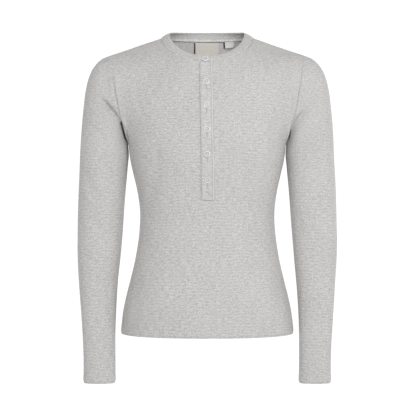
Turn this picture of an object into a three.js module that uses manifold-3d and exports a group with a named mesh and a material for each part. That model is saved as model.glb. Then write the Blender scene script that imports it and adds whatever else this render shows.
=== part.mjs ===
// A long-sleeved henley shirt in fine jersey, filled out as it hangs when worn, with nobody in it.
// Millimetres. +Z is up, +X is the wearer's left, and the front faces -Y.
// The origin is midway between the two high shoulder points, where shoulders carry the shirt.
import * as THREE from "three";
import { mergeVertices } from "three/addons/utils/BufferGeometryUtils.js";
import Module from "manifold-3d";

// Driving dimensions.
const CLOTH = 1.4; // wall of the single jersey
const BAND_WALL = 2.2; // wall of the folded neckband
const PLACKET_WALL = 1.9; // wall of the folded placket strips
const HEM_WALL = 2.2; // wall where the cloth is turned up inside and doubled
const HEM_DEPTH = 18;
const HEM_STEP = 3; // height over which the doubled cloth thins out
const SEAM_GAP = 0.3; // room between sewn pieces
const LAYER_GAP = 0.45; // room between a piece and the panel that it lies on
const HEM_Z = -590;
const UNDERARM_Z = -212;
const CUFF_Z = -686;
const CUFF_AT = 673; // how far the cuff is from the armhole along the sleeve
const SIDE_SEAM_Y = 4;
const SIDE_TO_SLEEVE_X = 175; // between the body's side and the sleeve, down at the hem
const TORSO_SQUARENESS = 2.3; // exponent of the torso's sections, where 2 is an ellipse
const SLEEVE_SQUARENESS = 2.15; // exponent of the sleeves' sections

// Horizontal sections of the torso from the hem to the underarm, with the reach from the
// middle plane to the side, front and back.
const TORSO = [
  { z: HEM_Z, side: 172.8, front: 112, back: 117 },
  { z: -549, side: 168.4, front: 110, back: 117 },
  { z: -517, side: 161.6, front: 106, back: 114 },
  { z: -485, side: 153.4, front: 101, back: 107 },
  { z: -453, side: 145.6, front: 97, back: 99 },
  { z: -421, side: 139.8, front: 93, back: 92 },
  { z: -389, side: 135.8, front: 91, back: 86 },
  { z: -349, side: 134.2, front: 92, back: 84 },
  { z: -309, side: 139.2, front: 98, back: 88 },
  { z: -277, side: 146.5, front: 104, back: 93 },
  { z: -245, side: 153.4, front: 109, back: 98 },
  { z: UNDERARM_Z, side: 157.6, front: 111, back: 102 },
  { z: -180, side: 160, front: 110, back: 104 },
];

// Rings of a sleeve from the armhole to the cuff. A ring's plane runs from its outer point to
// its inner one, and front and back are its reach from its own middle.
const SLEEVE = [
  { at: 0, outerX: 191, outerZ: -35, innerX: 158, innerZ: UNDERARM_Z, y: 4, front: 46, back: 50, bow: 4 },
  { at: 24, outerX: 213, outerZ: -45, innerX: 158.9, innerZ: -215, y: 4, front: 49, back: 52, bow: 3 },
  { at: 53, outerX: 231.5, outerZ: -68, innerX: 158.6, innerZ: -220, y: 4, front: 50, back: 52, bow: 1 },
  { at: 90, outerX: 242.5, outerZ: -103, innerX: 157.8, innerZ: -227, y: 4, front: 49, back: 51, bow: 0 },
  { at: 137, outerX: 248.5, outerZ: -150, innerX: 157.6, innerZ: -238, y: 3, front: 47, back: 50, bow: 0 },
  { at: 187, outerX: 252, outerZ: -200, innerX: 159, innerZ: -254, y: 2, front: 45, back: 48, bow: 0 },
  { at: 247, outerX: 255, outerZ: -260, innerX: 161.5, innerZ: -286, y: 1, front: 43.5, back: 46, bow: 0 },
  { at: 307, outerX: 257.5, outerZ: -320, innerX: 164.8, innerZ: -327, y: 0, front: 42, back: 44, bow: 0 },
  { at: 376, outerX: 258.7, outerZ: -389, innerX: 169.2, innerZ: -389, y: -3, front: 39, back: 42, bow: 0 },
  { at: 427, outerX: 257.8, outerZ: -440, innerX: 173.4, innerZ: -440, y: -7, front: 37, back: 40, bow: 0 },
  { at: 487, outerX: 254, outerZ: -500, innerX: 178.6, innerZ: -500, y: -13, front: 33, back: 36, bow: 0 },
  { at: 557, outerX: 248.4, outerZ: -570, innerX: 181.6, innerZ: -570, y: -20, front: 28, back: 30, bow: 0 },
  { at: 622, outerX: 244.6, outerZ: -635, innerX: 181.8, innerZ: -635, y: -26, front: 23, back: 24, bow: 0 },
  { at: CUFF_AT, outerX: 244, outerZ: CUFF_Z, innerX: 181, innerZ: CUFF_Z, y: -29, front: 19, back: 20, bow: 0 },
];

// Neckline: the seam where the band joins the body, and the band's free rim.
const NECK_SEAM = { side: 92, y: 2, front: 84, back: 62, z: 4.3, frontDrop: 63, backRise: -2 };
const NECK_RIM = { side: 74.4, y: 0, front: 72, back: 58, z: 11.8, frontDrop: 57.5, backRise: 6.5 };
const NECK_SOFTNESS = 0.03; // rounds the change from the front's drop to the level back
const CORNER_FADE = 0.17; // share of the half width over which a corner is evened out
const FADE_WEIGHTS = [0.12, 0.22, 0.32, 0.22, 0.12];
const NECK_SHARE = 0.36; // share of a panel's half width that ends at the neck
const SHOULDER_SEAM_TURN = 60; // degrees round the neck where the shoulder seam starts
const SHOULDER_SEAM_ON_ARMHOLE = 14; // degrees round the armhole where it ends
const SHOULDER_SEAM_SAG = 7;
const EDGE_SLACK = 0.12; // extra length of the columns that run beside an armhole
const EDGE_EASE = 4; // power by which columns near an armhole follow it
const NECK_LEAN = vec(0, 0.37, 0.93); // the way up the chest at the neck seam
const NECK_SIDE_LEAN = vec(-0.1, 0.66, 0.75); // the way up at the shoulder seam's neck end
const NAPE_LEAN = vec(0, -0.44, 0.9); // the way up the back at the neck seam

// Placket: two strips over a window cut in the front, one above it and one under it.
const PLACKET_HALF = 12.5;
const WINDOW_HALF = 10;
const WINDOW_FOOT_Z = -320;
const PLACKET_FOOT_Z = -325;
const UNDER_FOOT_Z = -322;
const LEAST_ROW = 0.02; // rows closer than this share of a panel are left out of a strip
const PLACKET_TOP_X = -2.4; // the placket leans a little, from this at the neck
const PLACKET_FOOT_X = 1.4; // to this at its foot
const NECK_FRONT_Z = -59;

// The band's ends lap over each other at the front, with the wearer's right end on top.
const BAND_LAP_TURN = 8.6; // how far each end runs past the middle front, in degrees
const BAND_LIFT_TURN = 18; // over how many more degrees the top end is lifted
const BAND_BULGE = 1.2;

// Buttons with a raised rim, a dished middle and four holes.
const BUTTON_SECTION = [
  [0, 0], [4.4, 0], [5.7, 0.9], [5.7, 1.7], [5.1, 2.4], [4.5, 2.4], [3.7, 1.6], [0, 1.5],
];
const BUTTON_GAP = 0.4; // room between a button and the cloth, on its shank of thread
const BUTTON_HOLE = { radius: 0.65, offset: 1.15 };
const BUTTON_ON_BAND = { turn: -2.3, up: 0.5 };
const BUTTON_Z = [-99, -144.5, -191, -238, -287];

// Labels hung inside the back, whose tops are below the neck seam.
const MAIN_LABEL = { x: -0.8, top: -1.6, width: 50, height: 34, tilt: 0 };
const SIZE_LABEL = { x: 46, top: 0.4, width: 18, height: 12, tilt: 4 };
const LABEL_WALL = 1;
const LABEL_GAP = 0.9; // a label hangs free of the cloth behind it

// Large soft folds, each a valley between low ridges along a line in the front view.
// Side is -1 in the front and 1 in the back.
const FOLDS = [
  { side: -1, x1: -210, z1: -126, x2: -163, z2: -172, width: 11, depth: 4.5 },
  { side: -1, x1: 192, z1: -146, x2: 160, z2: -192, width: 14, depth: 3 },
  { side: -1, x1: -88, z1: -215, x2: -117, z2: -350, width: 22, depth: 2.6 },
  { side: -1, x1: 84, z1: -362, x2: 102, z2: -520, width: 20, depth: 2.4 },
  { side: -1, x1: -244, z1: -262, x2: -220, z2: -326, width: 16, depth: 2.4 },
  { side: -1, x1: 240, z1: -342, x2: 208, z2: -368, width: 16, depth: 2.4 },
  { side: 1, x1: -204, z1: -124, x2: -162, z2: -174, width: 12, depth: 4 },
  { side: 1, x1: 206, z1: -128, x2: 162, z2: -172, width: 12, depth: 4 },
  { side: 1, x1: -92, z1: -322, x2: 4, z2: -350, width: 20, depth: 2.6 },
  { side: 1, x1: -8, z1: -376, x2: 88, z2: -358, width: 20, depth: 2.4 },
  { side: 1, x1: -246, z1: -334, x2: -196, z2: -352, width: 16, depth: 2.4 },
  { side: 1, x1: 244, z1: -350, x2: 194, z2: -334, width: 16, depth: 2.4 },
];
const FOLD_FADE = 30; // folds die out over this much depth from the side seams
const FOLD_END = 0.65; // share of its length from its middle where a fold has died out
const FOLD_TAPER = 0.4;
const FOLD_RIDGES = 1.2;
const FOLD_FALL = 1.6; // how fast a fold dies out to its sides

// How finely the cloth is divided.
const NECK_STEPS = 5; // from the placket's window to the shoulder seam's neck end
const NAPE_STEPS = 14; // along the back of the neck
const ARMHOLE_STEPS = 12; // from the underarm to the shoulder, in the front and in the back
const SHOULDER_STEPS = 7; // along a shoulder
const BAND_STEPS = 2; // up the neckband
const FLAP_STEPS = 2; // from the shoulder's ridge to the shoulder seam
const SOLVE_STEPS = 26;
const PROBE = 0.004; // step over which a surface's direction is taken
const WELD = 1e-3;
const MITRE_LEAST = 0.5;
const SMOOTH_SEAM = 0.7; // cloth that turns more sharply than this at a seam is a crease

const FINISHES = {
  jersey: { color: 0xc4c3c1, roughness: 0.9, metalness: 0 },
  band: { color: 0xc6c5c3, roughness: 0.9, metalness: 0 },
  button: { color: 0xe2e0dd, roughness: 0.4, metalness: 0 },
  mainLabel: { color: 0xbdb9b1, roughness: 0.7, metalness: 0 },
  sizeLabel: { color: 0xd4d3ce, roughness: 0.7, metalness: 0 },
};

function vec(x, y, z) {
  return new THREE.Vector3(x, y, z);
}

function mix(a, b, share) {
  return a.clone().lerp(b, share);
}

function hermite(a, b, slopeA, slopeB, share) {
  const square = share * share;
  const cube = square * share;
  return (
    a * (2 * cube - 3 * square + 1) +
    slopeA * (cube - 2 * square + share) +
    b * (3 * square - 2 * cube) +
    slopeB * (cube - square)
  );
}

// The point at a share of the way along a curve with these ends and end directions.
function curve(from, to, fromWay, toWay, share) {
  return vec(
    hermite(from.x, to.x, fromWay.x, toWay.x, share),
    hermite(from.y, to.y, fromWay.y, toWay.y, share),
    hermite(from.z, to.z, fromWay.z, toWay.z, share),
  );
}

// One column of a table at a place between its rows, on a smooth curve through them.
function along(table, key, column, at) {
  const last = table.length - 1;
  const place = THREE.MathUtils.clamp(at, table[0][key], table[last][key]);
  let row = 0;
  while (row < last - 1 && table[row + 1][key] < place) row++;
  const slope = (k) => {
    const before = table[Math.max(0, k - 1)];
    const after = table[Math.min(last, k + 1)];
    return (after[column] - before[column]) / (after[key] - before[key]);
  };
  const width = table[row + 1][key] - table[row][key];
  return hermite(
    table[row][column],
    table[row + 1][column],
    slope(row) * width,
    slope(row + 1) * width,
    (place - table[row][key]) / width,
  );
}

// A sine or cosine pushed outwards, which turns an ellipse into a squarer section.
function squared(value, squareness) {
  return Math.sign(value) * Math.abs(value) ** (2 / squareness);
}

// A point of the torso at a height. Turn 0 is the middle front, 90 the wearer's left side.
function torso(z, turn) {
  const angle = THREE.MathUtils.degToRad(turn);
  const forward = squared(Math.cos(angle), TORSO_SQUARENESS);
  const reach =
    forward > 0
      ? along(TORSO, "z", "front", z) + SIDE_SEAM_Y
      : along(TORSO, "z", "back", z) - SIDE_SEAM_Y;
  return vec(
    along(TORSO, "z", "side", z) * squared(Math.sin(angle), TORSO_SQUARENESS),
    SIDE_SEAM_Y - reach * forward,
    z,
  );
}

// A point of the wearer's left sleeve. Turn 0 is its outer or upper line, 90 its front.
function sleeve(at, turn) {
  const angle = THREE.MathUtils.degToRad(turn);
  const outward = squared(Math.cos(angle), SLEEVE_SQUARENESS);
  const forward = squared(Math.sin(angle), SLEEVE_SQUARENESS);
  const value = (column) => along(SLEEVE, "at", column, at);
  const reach = forward > 0 ? value("front") : value("back");
  const between = (outer, inner) => (outer + inner) / 2 + ((outer - inner) / 2) * outward;
  return vec(
    between(value("outerX"), value("innerX")) + value("bow") * forward * forward,
    value("y") - reach * forward,
    between(value("outerZ"), value("innerZ")),
  );
}

function armhole(turn) {
  return sleeve(0, turn);
}

// A point of a ring round the neck. Turn 0 is the middle front and 90 the wearer's left.
function neckRing(ring, turn) {
  const angle = THREE.MathUtils.degToRad(turn);
  const forward = Math.cos(angle);
  const soft = (value) => (value + Math.sqrt(value * value + NECK_SOFTNESS)) / 2;
  return vec(
    ring.side * Math.sin(angle),
    ring.y - (forward > 0 ? ring.front : ring.back) * forward,
    ring.z - ring.frontDrop * soft(forward) + ring.backRise * soft(-forward),
  );
}

function neckSeam(turn) {
  return neckRing(NECK_SEAM, turn);
}

// Mirrors a point of the wearer's left half to the side that the sign gives.
function onSide(point, sign) {
  return vec(point.x * sign, point.y, point.z);
}

// The shoulder's ridge and the shoulder seam in front of it, from the neck to the armhole.
function ridge(share) {
  return mix(neckSeam(90), armhole(0), share);
}

function shoulderSeam(share) {
  const point = mix(neckSeam(SHOULDER_SEAM_TURN), armhole(SHOULDER_SEAM_ON_ARMHOLE), share);
  point.z -= SHOULDER_SEAM_SAG * 4 * share * (1 - share) * (1 - share);
  point.y -= SHOULDER_SEAM_SAG * 2 * share * (1 - share);
  return point;
}

// The way up the front where it ends at the neck or the shoulder seam.
function frontTopWay(across) {
  const armholeWay = armhole(SHOULDER_SEAM_ON_ARMHOLE - 2)
    .sub(armhole(SHOULDER_SEAM_ON_ARMHOLE + 2))
    .normalize();
  const way =
    across < NECK_SHARE
      ? mix(NECK_LEAN, NECK_SIDE_LEAN, across / NECK_SHARE)
      : mix(NECK_SIDE_LEAN, armholeWay, (across - NECK_SHARE) / (1 - NECK_SHARE));
  return way.normalize();
}

// The way up the torso at the underarm level, which turns along the armhole near the side.
function underarmWay(across, forwardSign) {
  const turn = forwardSign > 0 ? across * 90 : 180 - across * 90;
  const up = torso(UNDERARM_Z + 1, turn).sub(torso(UNDERARM_Z - 1, turn)).normalize();
  const share = Math.max(0, (across - 0.5) / 0.5) ** 2;
  return mix(up, vec(0, -forwardSign, 0), share).normalize();
}

// A point up a panel's upper part, which joins the underarm level to the panel's top edge. Its
// outer columns are eased on to the armhole, and a corner of the top edge fades out below it.
function upperPanel(across, share, forwardSign, topPoint, topWay, armholeTurn) {
  const column = (place) => {
    const out = Math.abs(place);
    const foot = torso(UNDERARM_Z, forwardSign > 0 ? out * 90 : 180 - out * 90);
    const top = topPoint(out);
    const length = foot.distanceTo(top) * (1 + EDGE_SLACK * out ** EDGE_EASE);
    const start = underarmWay(out, forwardSign).multiplyScalar(length);
    const point = curve(foot, top, start, topWay(out).multiplyScalar(length), share);
    return onSide(point, Math.sign(place) || 1);
  };
  const spread = Math.min(CORNER_FADE * Math.sqrt(4 * share * (1 - share)), 1 - across);
  const blurred = vec(0, 0, 0);
  FADE_WEIGHTS.forEach((weight, k) => {
    const place = across + spread * ((2 * k) / (FADE_WEIGHTS.length - 1) - 1);
    blurred.addScaledVector(column(place), weight);
  });
  const pull = armhole(armholeTurn(share)).sub(column(1)).multiplyScalar(across ** EDGE_EASE);
  return blurred.add(pull);
}

// A point of the front. Across runs from -1 to 1 over the panel, and up from 0 at the hem to 1
// at the underarm and 2 at the neck and shoulder seams.
function front(across, up) {
  const sign = Math.sign(across) || 1;
  if (up <= 1) return torso(HEM_Z + (UNDERARM_Z - HEM_Z) * up, across * 90);
  const top = (place) =>
    place < NECK_SHARE
      ? neckSeam((place / NECK_SHARE) * SHOULDER_SEAM_TURN)
      : shoulderSeam((place - NECK_SHARE) / (1 - NECK_SHARE));
  const turn = (share) => 180 - (180 - SHOULDER_SEAM_ON_ARMHOLE) * share;
  return onSide(upperPanel(Math.abs(across), up - 1, 1, top, frontTopWay, turn), sign);
}

// A point of the back, which ends at the neck and at the shoulder's ridge.
function back(across, up) {
  const sign = Math.sign(across) || 1;
  if (up <= 1) return torso(HEM_Z + (UNDERARM_Z - HEM_Z) * up, 180 - across * 90);
  const top = (place) =>
    place < NECK_SHARE
      ? neckSeam(180 - (place / NECK_SHARE) * 90)
      : ridge((place - NECK_SHARE) / (1 - NECK_SHARE));
  const way = (place) =>
    mix(NAPE_LEAN, vec(0, -1, 0), Math.min(1, place / NECK_SHARE) ** 2).normalize();
  const turn = (share) => 180 + 180 * share;
  return onSide(upperPanel(Math.abs(across), up - 1, -1, top, way, turn), sign);
}

// A point of the back's flap over the shoulder, from the ridge (down 0) to the shoulder seam
// (down 1), and from the neck (out 0) to the armhole (out 1).
function shoulderFlap(out, down) {
  const column = (place) => {
    const start = ridge(place);
    const end = shoulderSeam(place);
    const length = start.distanceTo(end);
    const endWay = frontTopWay(NECK_SHARE + place * (1 - NECK_SHARE)).multiplyScalar(-length);
    return curve(start, end, vec(0, -length, 0), endWay, down);
  };
  const neckPull = neckSeam(90 - (90 - SHOULDER_SEAM_TURN) * down).sub(column(0));
  const armPull = armhole(SHOULDER_SEAM_ON_ARMHOLE * down).sub(column(1));
  return column(out)
    .add(neckPull.multiplyScalar((1 - out) ** EDGE_EASE))
    .add(armPull.multiplyScalar(out ** EDGE_EASE));
}

// Finds where a rising function of one number reaches a value.
function solve(value, target, low, high) {
  for (let step = 0; step < SOLVE_STEPS; step++) {
    const middle = (low + high) / 2;
    if (value(middle) < target) low = middle;
    else high = middle;
  }
  return (low + high) / 2;
}

// A point of the cloth with the folds pressed into it.
function folded(point) {
  const side = Math.sign(point.y - SIDE_SEAM_Y);
  const fade = THREE.MathUtils.smoothstep(Math.abs(point.y - SIDE_SEAM_Y), 0, FOLD_FADE);
  const here = new THREE.Vector2(point.x, point.z);
  let depth = 0;
  for (const fold of FOLDS.filter((each) => each.side === side)) {
    const start = new THREE.Vector2(fold.x1, fold.z1);
    const run = new THREE.Vector2(fold.x2, fold.z2).sub(start);
    const offset = here.clone().sub(start);
    const share = offset.dot(run) / run.lengthSq();
    const aside = (offset.cross(run) / run.length() / fold.width) ** 2;
    const taper = THREE.MathUtils.smoothstep(FOLD_END - Math.abs(share - 0.5), 0, FOLD_TAPER);
    depth += fold.depth * taper * (1 - FOLD_RIDGES * aside) * Math.exp(-FOLD_FALL * aside);
  }
  return vec(point.x, point.y - side * fade * depth, point.z);
}

// The outward normal of a surface that has its across and up directions in that order.
function normalOf(surface, across, up) {
  const acrossWay = surface(across + PROBE, up).sub(surface(across - PROBE, up));
  const upWay = surface(across, up + PROBE).sub(surface(across, up - PROBE));
  return acrossWay.cross(upWay).normalize();
}

function steps(count, from, to) {
  return Array.from({ length: count + 1 }, (_, k) => from + ((to - from) * k) / count);
}

// Welds patches of points, whose faces look outwards, into one sheet of shared vertices.
function sheetOf(patches) {
  const positions = [];
  for (const patch of patches)
    for (let i = 0; i + 1 < patch.length; i++)
      for (let j = 0; j + 1 < patch[i].length; j++) {
        const corners = [patch[i][j], patch[i][j + 1], patch[i + 1][j + 1], patch[i + 1][j]];
        const rising = corners[0].distanceTo(corners[2]) <= corners[1].distanceTo(corners[3]);
        const order = rising ? [0, 1, 2, 0, 2, 3] : [0, 1, 3, 1, 2, 3];
        for (const k of order) positions.push(...corners[k].toArray());
      }
  const loose = new THREE.BufferGeometry();
  loose.setAttribute("position", new THREE.Float32BufferAttribute(positions, 3));
  const sheet = mergeVertices(loose, WELD);
  sheet.computeVertexNormals();
  return sheet;
}

function pointsOf(attribute) {
  return Array.from({ length: attribute.count }, (_, k) => vec().fromBufferAttribute(attribute, k));
}

function placeKey(point) {
  return point.toArray().map((value) => Math.round(value / WELD / 10)).join(",");
}

// The faces of a sheet, without those that the weld closed up.
function facesOf(sheet) {
  const index = Array.from(sheet.index.array);
  const faces = Array.from({ length: index.length / 3 }, (_, k) => index.slice(3 * k, 3 * k + 3));
  return faces.filter((corners) => new Set(corners).size === 3);
}

// The edges that belong to one face only, each as its two ends.
function rimOf(faces) {
  const edges = new Map(faces.flatMap(([a, b, c]) => [[a, b], [b, c], [c, a]]).map((e) => [e.join(), e]));
  return [...edges.values()].filter(([a, b]) => !edges.has([b, a].join()));
}

// Moves the sheet's rims in by half a seam's gap, square to each rim.
function drawIn(points, normals, rim, distance) {
  const ways = new Map();
  for (const [a, b] of rim) {
    const way = normals[a].clone().add(normals[b]).cross(points[b].clone().sub(points[a])).normalize();
    for (const end of [a, b]) ways.set(end, [...(ways.get(end) ?? []), way]);
  }
  for (const [k, [first, second = first]] of ways) {
    const way = first.clone().add(second).normalize();
    points[k].addScaledVector(way, distance / Math.max(MITRE_LEAST, way.dot(first)));
  }
}

// Turns a sheet into a closed wall that has the sheet on its outer side, or lifted off it.
// At seams its ends stand square to the joined cloth, so that neighbours meet face to face.
function wallOf(patches, wallAt, joined = new Map(), lift = 0) {
  const sheet = sheetOf(patches);
  const points = pointsOf(sheet.attributes.position);
  const normals = pointsOf(sheet.attributes.normal);
  const faces = facesOf(sheet);
  const rim = rimOf(faces);
  for (const k of new Set(rim.flat())) {
    const shared = joined.get(placeKey(points[k]));
    if (shared && shared.dot(normals[k]) > SMOOTH_SEAM) normals[k].copy(shared);
  }
  drawIn(points, normals, rim, SEAM_GAP / 2);
  const outer = points.map((point, k) => point.clone().addScaledVector(normals[k], lift));
  const inner = outer.map((point, k) => point.clone().addScaledVector(normals[k], -wallAt(point)));
  const count = points.length;
  const index = faces.flatMap(([a, b, c]) => [a, b, c, a + count, c + count, b + count]);
  for (const [a, b] of rim) {
    const slants = outer[b].distanceTo(inner[a]) < outer[a].distanceTo(inner[b]);
    if (slants) index.push(b, a, a + count, b, a + count, b + count);
    else index.push(b, a, b + count, a, a + count, b + count);
  }
  const solid = new THREE.BufferGeometry().setFromPoints([...outer, ...inner]);
  solid.setIndex(index);
  solid.computeVertexNormals();
  return solid;
}

function pressed(patch) {
  return patch.map((row) => row.map(folded));
}

function reversed(patch) {
  return patch.map((row) => [...row].reverse());
}

const shirt = new THREE.Group();

function addPiece(name, geometry, finish) {
  const mesh = new THREE.Mesh(geometry, new THREE.MeshStandardMaterial(FINISHES[finish]));
  mesh.name = name;
  shirt.add(mesh);
  return mesh;
}

// The placket's middle line and the place across the front of a point beside it.
function placketMiddle(z) {
  return THREE.MathUtils.mapLinear(z, NECK_FRONT_Z, PLACKET_FOOT_Z, PLACKET_TOP_X, PLACKET_FOOT_X);
}

function besidePlacket(up, offset) {
  const target = placketMiddle(front(0, up).z) + offset;
  return solve((across) => front(across, up).x, target, -0.3, 0.3);
}

function upAtHeight(z) {
  return solve((up) => front(0, up).z, z, 0, 2);
}

// Rows up the front and back panels. One runs along the top of the hem, one along the
// window's foot and one round the underarm.
const WINDOW_UP = upAtHeight(WINDOW_FOOT_Z);
const HEM_UP = HEM_DEPTH / (UNDERARM_Z - HEM_Z);
const HEM_STEP_UP = (HEM_DEPTH + HEM_STEP) / (UNDERARM_Z - HEM_Z);
const LOW_ROWS = [0, HEM_UP, ...steps(7, HEM_STEP_UP, WINDOW_UP)];
const MIDDLE_ROWS = steps(4, WINDOW_UP, 1).slice(1);
const HIGH_ROWS = steps(ARMHOLE_STEPS, 1, 2).slice(1);
const ROWS = [...LOW_ROWS, ...MIDDLE_ROWS, ...HIGH_ROWS];

function windowPatch(rows) {
  return rows.map((up) =>
    steps(2, -WINDOW_HALF, WINDOW_HALF).map((offset) => front(besidePlacket(up, offset), up)),
  );
}

function frontPatches() {
  const half = (sign) =>
    ROWS.map((up) => {
      const places = [
        ...steps(NECK_STEPS, besidePlacket(up, sign * WINDOW_HALF), sign * NECK_SHARE),
        ...steps(SHOULDER_STEPS, sign * NECK_SHARE, sign).slice(1),
      ].map((across) => front(across, up));
      return sign > 0 ? places : places.reverse();
    });
  return [half(-1), windowPatch(LOW_ROWS), half(1)].map(pressed);
}

function backPatches() {
  const shoulder = steps(SHOULDER_STEPS, NECK_SHARE, 1);
  const nape = steps(NAPE_STEPS, -NECK_SHARE, NECK_SHARE);
  const columns = [...shoulder.map((v) => -v).reverse(), ...nape.slice(1, -1), ...shoulder];
  const body = reversed(ROWS.map((up) => columns.map((across) => back(across, up))));
  const flap = (sign) => {
    const patch = steps(FLAP_STEPS, 0, 1).map((down) =>
      steps(SHOULDER_STEPS, 0, 1).map((out) => onSide(shoulderFlap(out, down), sign)),
    );
    return sign > 0 ? reversed(patch) : patch;
  };
  return [body, flap(1), flap(-1)].map(pressed);
}

// The turns of a sleeve's columns, which meet the rows of the front, the back and its flap.
const SLEEVE_TURNS = [
  ...steps(FLAP_STEPS, 0, SHOULDER_SEAM_ON_ARMHOLE),
  ...steps(ARMHOLE_STEPS, SHOULDER_SEAM_ON_ARMHOLE, 180).slice(1),
  ...steps(ARMHOLE_STEPS, 180, 360).slice(1),
];
const SLEEVE_STATIONS = [
  0, 12, 26, 42, 62, 86, 114, 146, 182, 220, 256, 288, 318, 348, 384, 430, 482, 540, 600,
  CUFF_AT - HEM_DEPTH - HEM_STEP, CUFF_AT - HEM_DEPTH, CUFF_AT,
];

function sleevePatches(sign) {
  const patch = SLEEVE_STATIONS.map((at) => SLEEVE_TURNS.map((turn) => onSide(sleeve(at, turn), sign)));
  return [pressed(sign > 0 ? patch : reversed(patch))];
}

const body = {
  front_body: frontPatches(),
  back_body: backPatches(),
  sleeve_left: sleevePatches(1),
  sleeve_right: sleevePatches(-1),
};

// The turns of the neckband's columns, which meet the columns of the body at the neck seam.
const windowTurn = (sign) =>
  (besidePlacket(2, sign * WINDOW_HALF) / NECK_SHARE) * SHOULDER_SEAM_TURN;
const BAND_TURNS = [
  ...steps(1, -BAND_LAP_TURN, windowTurn(-1)),
  ...steps(NECK_STEPS, windowTurn(1), SHOULDER_SEAM_TURN),
  ...steps(FLAP_STEPS, SHOULDER_SEAM_TURN, 90).slice(1),
  ...steps(NAPE_STEPS, 90, 270).slice(1),
  ...steps(FLAP_STEPS, 270, 360 - SHOULDER_SEAM_TURN).slice(1),
  ...steps(NECK_STEPS, 360 - SHOULDER_SEAM_TURN, 360 + windowTurn(-1)).slice(1),
  360 + windowTurn(1),
  360 + BAND_LAP_TURN,
];

// A point of the neckband, up from 0 at the neck seam to 1 at its rim.
function bandPoint(turn, up, lift = 0) {
  const foot = neckSeam(turn);
  const rim = neckRing(NECK_RIM, turn);
  const run = neckSeam(turn + 1).sub(neckSeam(turn - 1));
  const out = run.cross(rim.clone().sub(foot)).normalize();
  return mix(foot, rim, up).addScaledVector(out, BAND_BULGE * 4 * up * (1 - up) + lift);
}

function bandPatch(turns, liftAt) {
  return steps(BAND_STEPS, 0, 1).map((up) => turns.map((turn) => bandPoint(turn, up, liftAt(turn))));
}

// All the cloth joined up, from which the pieces take their directions at the seams.
const whole = sheetOf([
  ...Object.values(body).flat(),
  windowPatch(ROWS),
  bandPatch(BAND_TURNS.slice(1, -1), () => 0),
]);
const wholePoints = pointsOf(whole.attributes.position);
const wholeNormals = pointsOf(whole.attributes.normal);
const JOINED = new Map(wholePoints.map((point, k) => [placeKey(point), wholeNormals[k]]));

// Gives each of these points the direction of the joined cloth nearest to it.
function nearestNormals(points) {
  const nearest = (point) =>
    wholePoints.reduce(
      (best, each, k) => (each.distanceTo(point) < wholePoints[best].distanceTo(point) ? k : best),
      0,
    );
  return new Map(points.map((point) => [placeKey(point), wholeNormals[nearest(point)]]));
}

// The cloth is doubled where the hem and the cuffs are turned up inside.
function bodyWall(point) {
  const end = Math.abs(point.x) > SIDE_TO_SLEEVE_X ? CUFF_Z : HEM_Z;
  return point.z < end + HEM_DEPTH + HEM_STEP / 2 ? HEM_WALL : CLOTH;
}

for (const [name, patches] of Object.entries(body))
  addPiece(name, wallOf(patches, bodyWall, JOINED), "jersey");

// A strip down the placket whose rows are those of the front, so that it lies along it.
function placketStrip(footZ, lift) {
  const foot = upAtHeight(footZ);
  const rows = [foot, ...ROWS.filter((up) => up > foot + LEAST_ROW)];
  const patch = rows.map((up) =>
    steps(4, -PLACKET_HALF, PLACKET_HALF).map((offset) => front(besidePlacket(up, offset), up)),
  );
  return wallOf([patch], () => PLACKET_WALL, nearestNormals(patch.at(-1)), lift);
}

addPiece("placket_over", placketStrip(PLACKET_FOOT_Z, LAYER_GAP + PLACKET_WALL), "band");
addPiece("placket_under", placketStrip(UNDER_FOOT_Z, -CLOTH - LAYER_GAP), "band");

// How far the band's top end stands off the neck seam where it lies on its under end.
function bandLift(turn) {
  const start = 360 - BAND_LAP_TURN - BAND_LIFT_TURN;
  const share = THREE.MathUtils.smoothstep(turn, start, 360 - BAND_LAP_TURN);
  return share * (BAND_WALL + LAYER_GAP);
}

function neckband() {
  const patch = bandPatch(BAND_TURNS, bandLift);
  return wallOf([patch], () => BAND_WALL, nearestNormals(patch[0]));
}

addPiece("neckband", neckband(), "band");

// A button's solid, which stands on its own origin and faces +Z.
async function buttonShape() {
  const tool = await Module();
  tool.setup();
  const section = new tool.CrossSection([BUTTON_SECTION]);
  const disc = section.revolve(16);
  const holes = [0, 90, 180, 270].map((turn) =>
    tool.Manifold.cylinder(4, BUTTON_HOLE.radius, BUTTON_HOLE.radius, 6, true)
      .translate([BUTTON_HOLE.offset * Math.SQRT2, 0, 1])
      .rotate([0, 0, turn + 45]),
  );
  const mesh = holes.reduce((solid, hole) => solid.subtract(hole), disc).getMesh();
  const geometry = new THREE.BufferGeometry();
  geometry.setAttribute("position", new THREE.BufferAttribute(mesh.vertProperties, mesh.numProp));
  geometry.setIndex(new THREE.BufferAttribute(mesh.triVerts, 1));
  return geometry.toNonIndexed();
}

const BUTTON = await buttonShape();
BUTTON.computeVertexNormals();

function addButton(name, seat, way) {
  const button = addPiece(name, BUTTON, "button");
  button.position.copy(seat).addScaledVector(way, BUTTON_GAP);
  button.quaternion.setFromUnitVectors(vec(0, 0, 1), way);
}

const bandTurn = 360 + BUTTON_ON_BAND.turn;
addButton(
  "button_1",
  bandPoint(bandTurn, BUTTON_ON_BAND.up, bandLift(bandTurn)),
  normalOf((across, up) => bandPoint(bandTurn + across, up, bandLift(bandTurn)), 0, BUTTON_ON_BAND.up),
);
BUTTON_Z.forEach((z, k) => {
  const up = upAtHeight(z);
  const across = besidePlacket(up, 0);
  const way = normalOf(front, across, up);
  const seat = front(across, up).addScaledVector(way, LAYER_GAP + PLACKET_WALL);
  addButton(`button_${k + 2}`, seat, way);
});

// A point of the back at a place given by x and height.
function backAt(x, z) {
  const acrossAt = (up) => solve((across) => back(across, up).x, x, -NECK_SHARE, NECK_SHARE);
  const up = solve((place) => back(acrossAt(place), place).z, z, 1.4, 2);
  return back(acrossAt(up), up);
}

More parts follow.
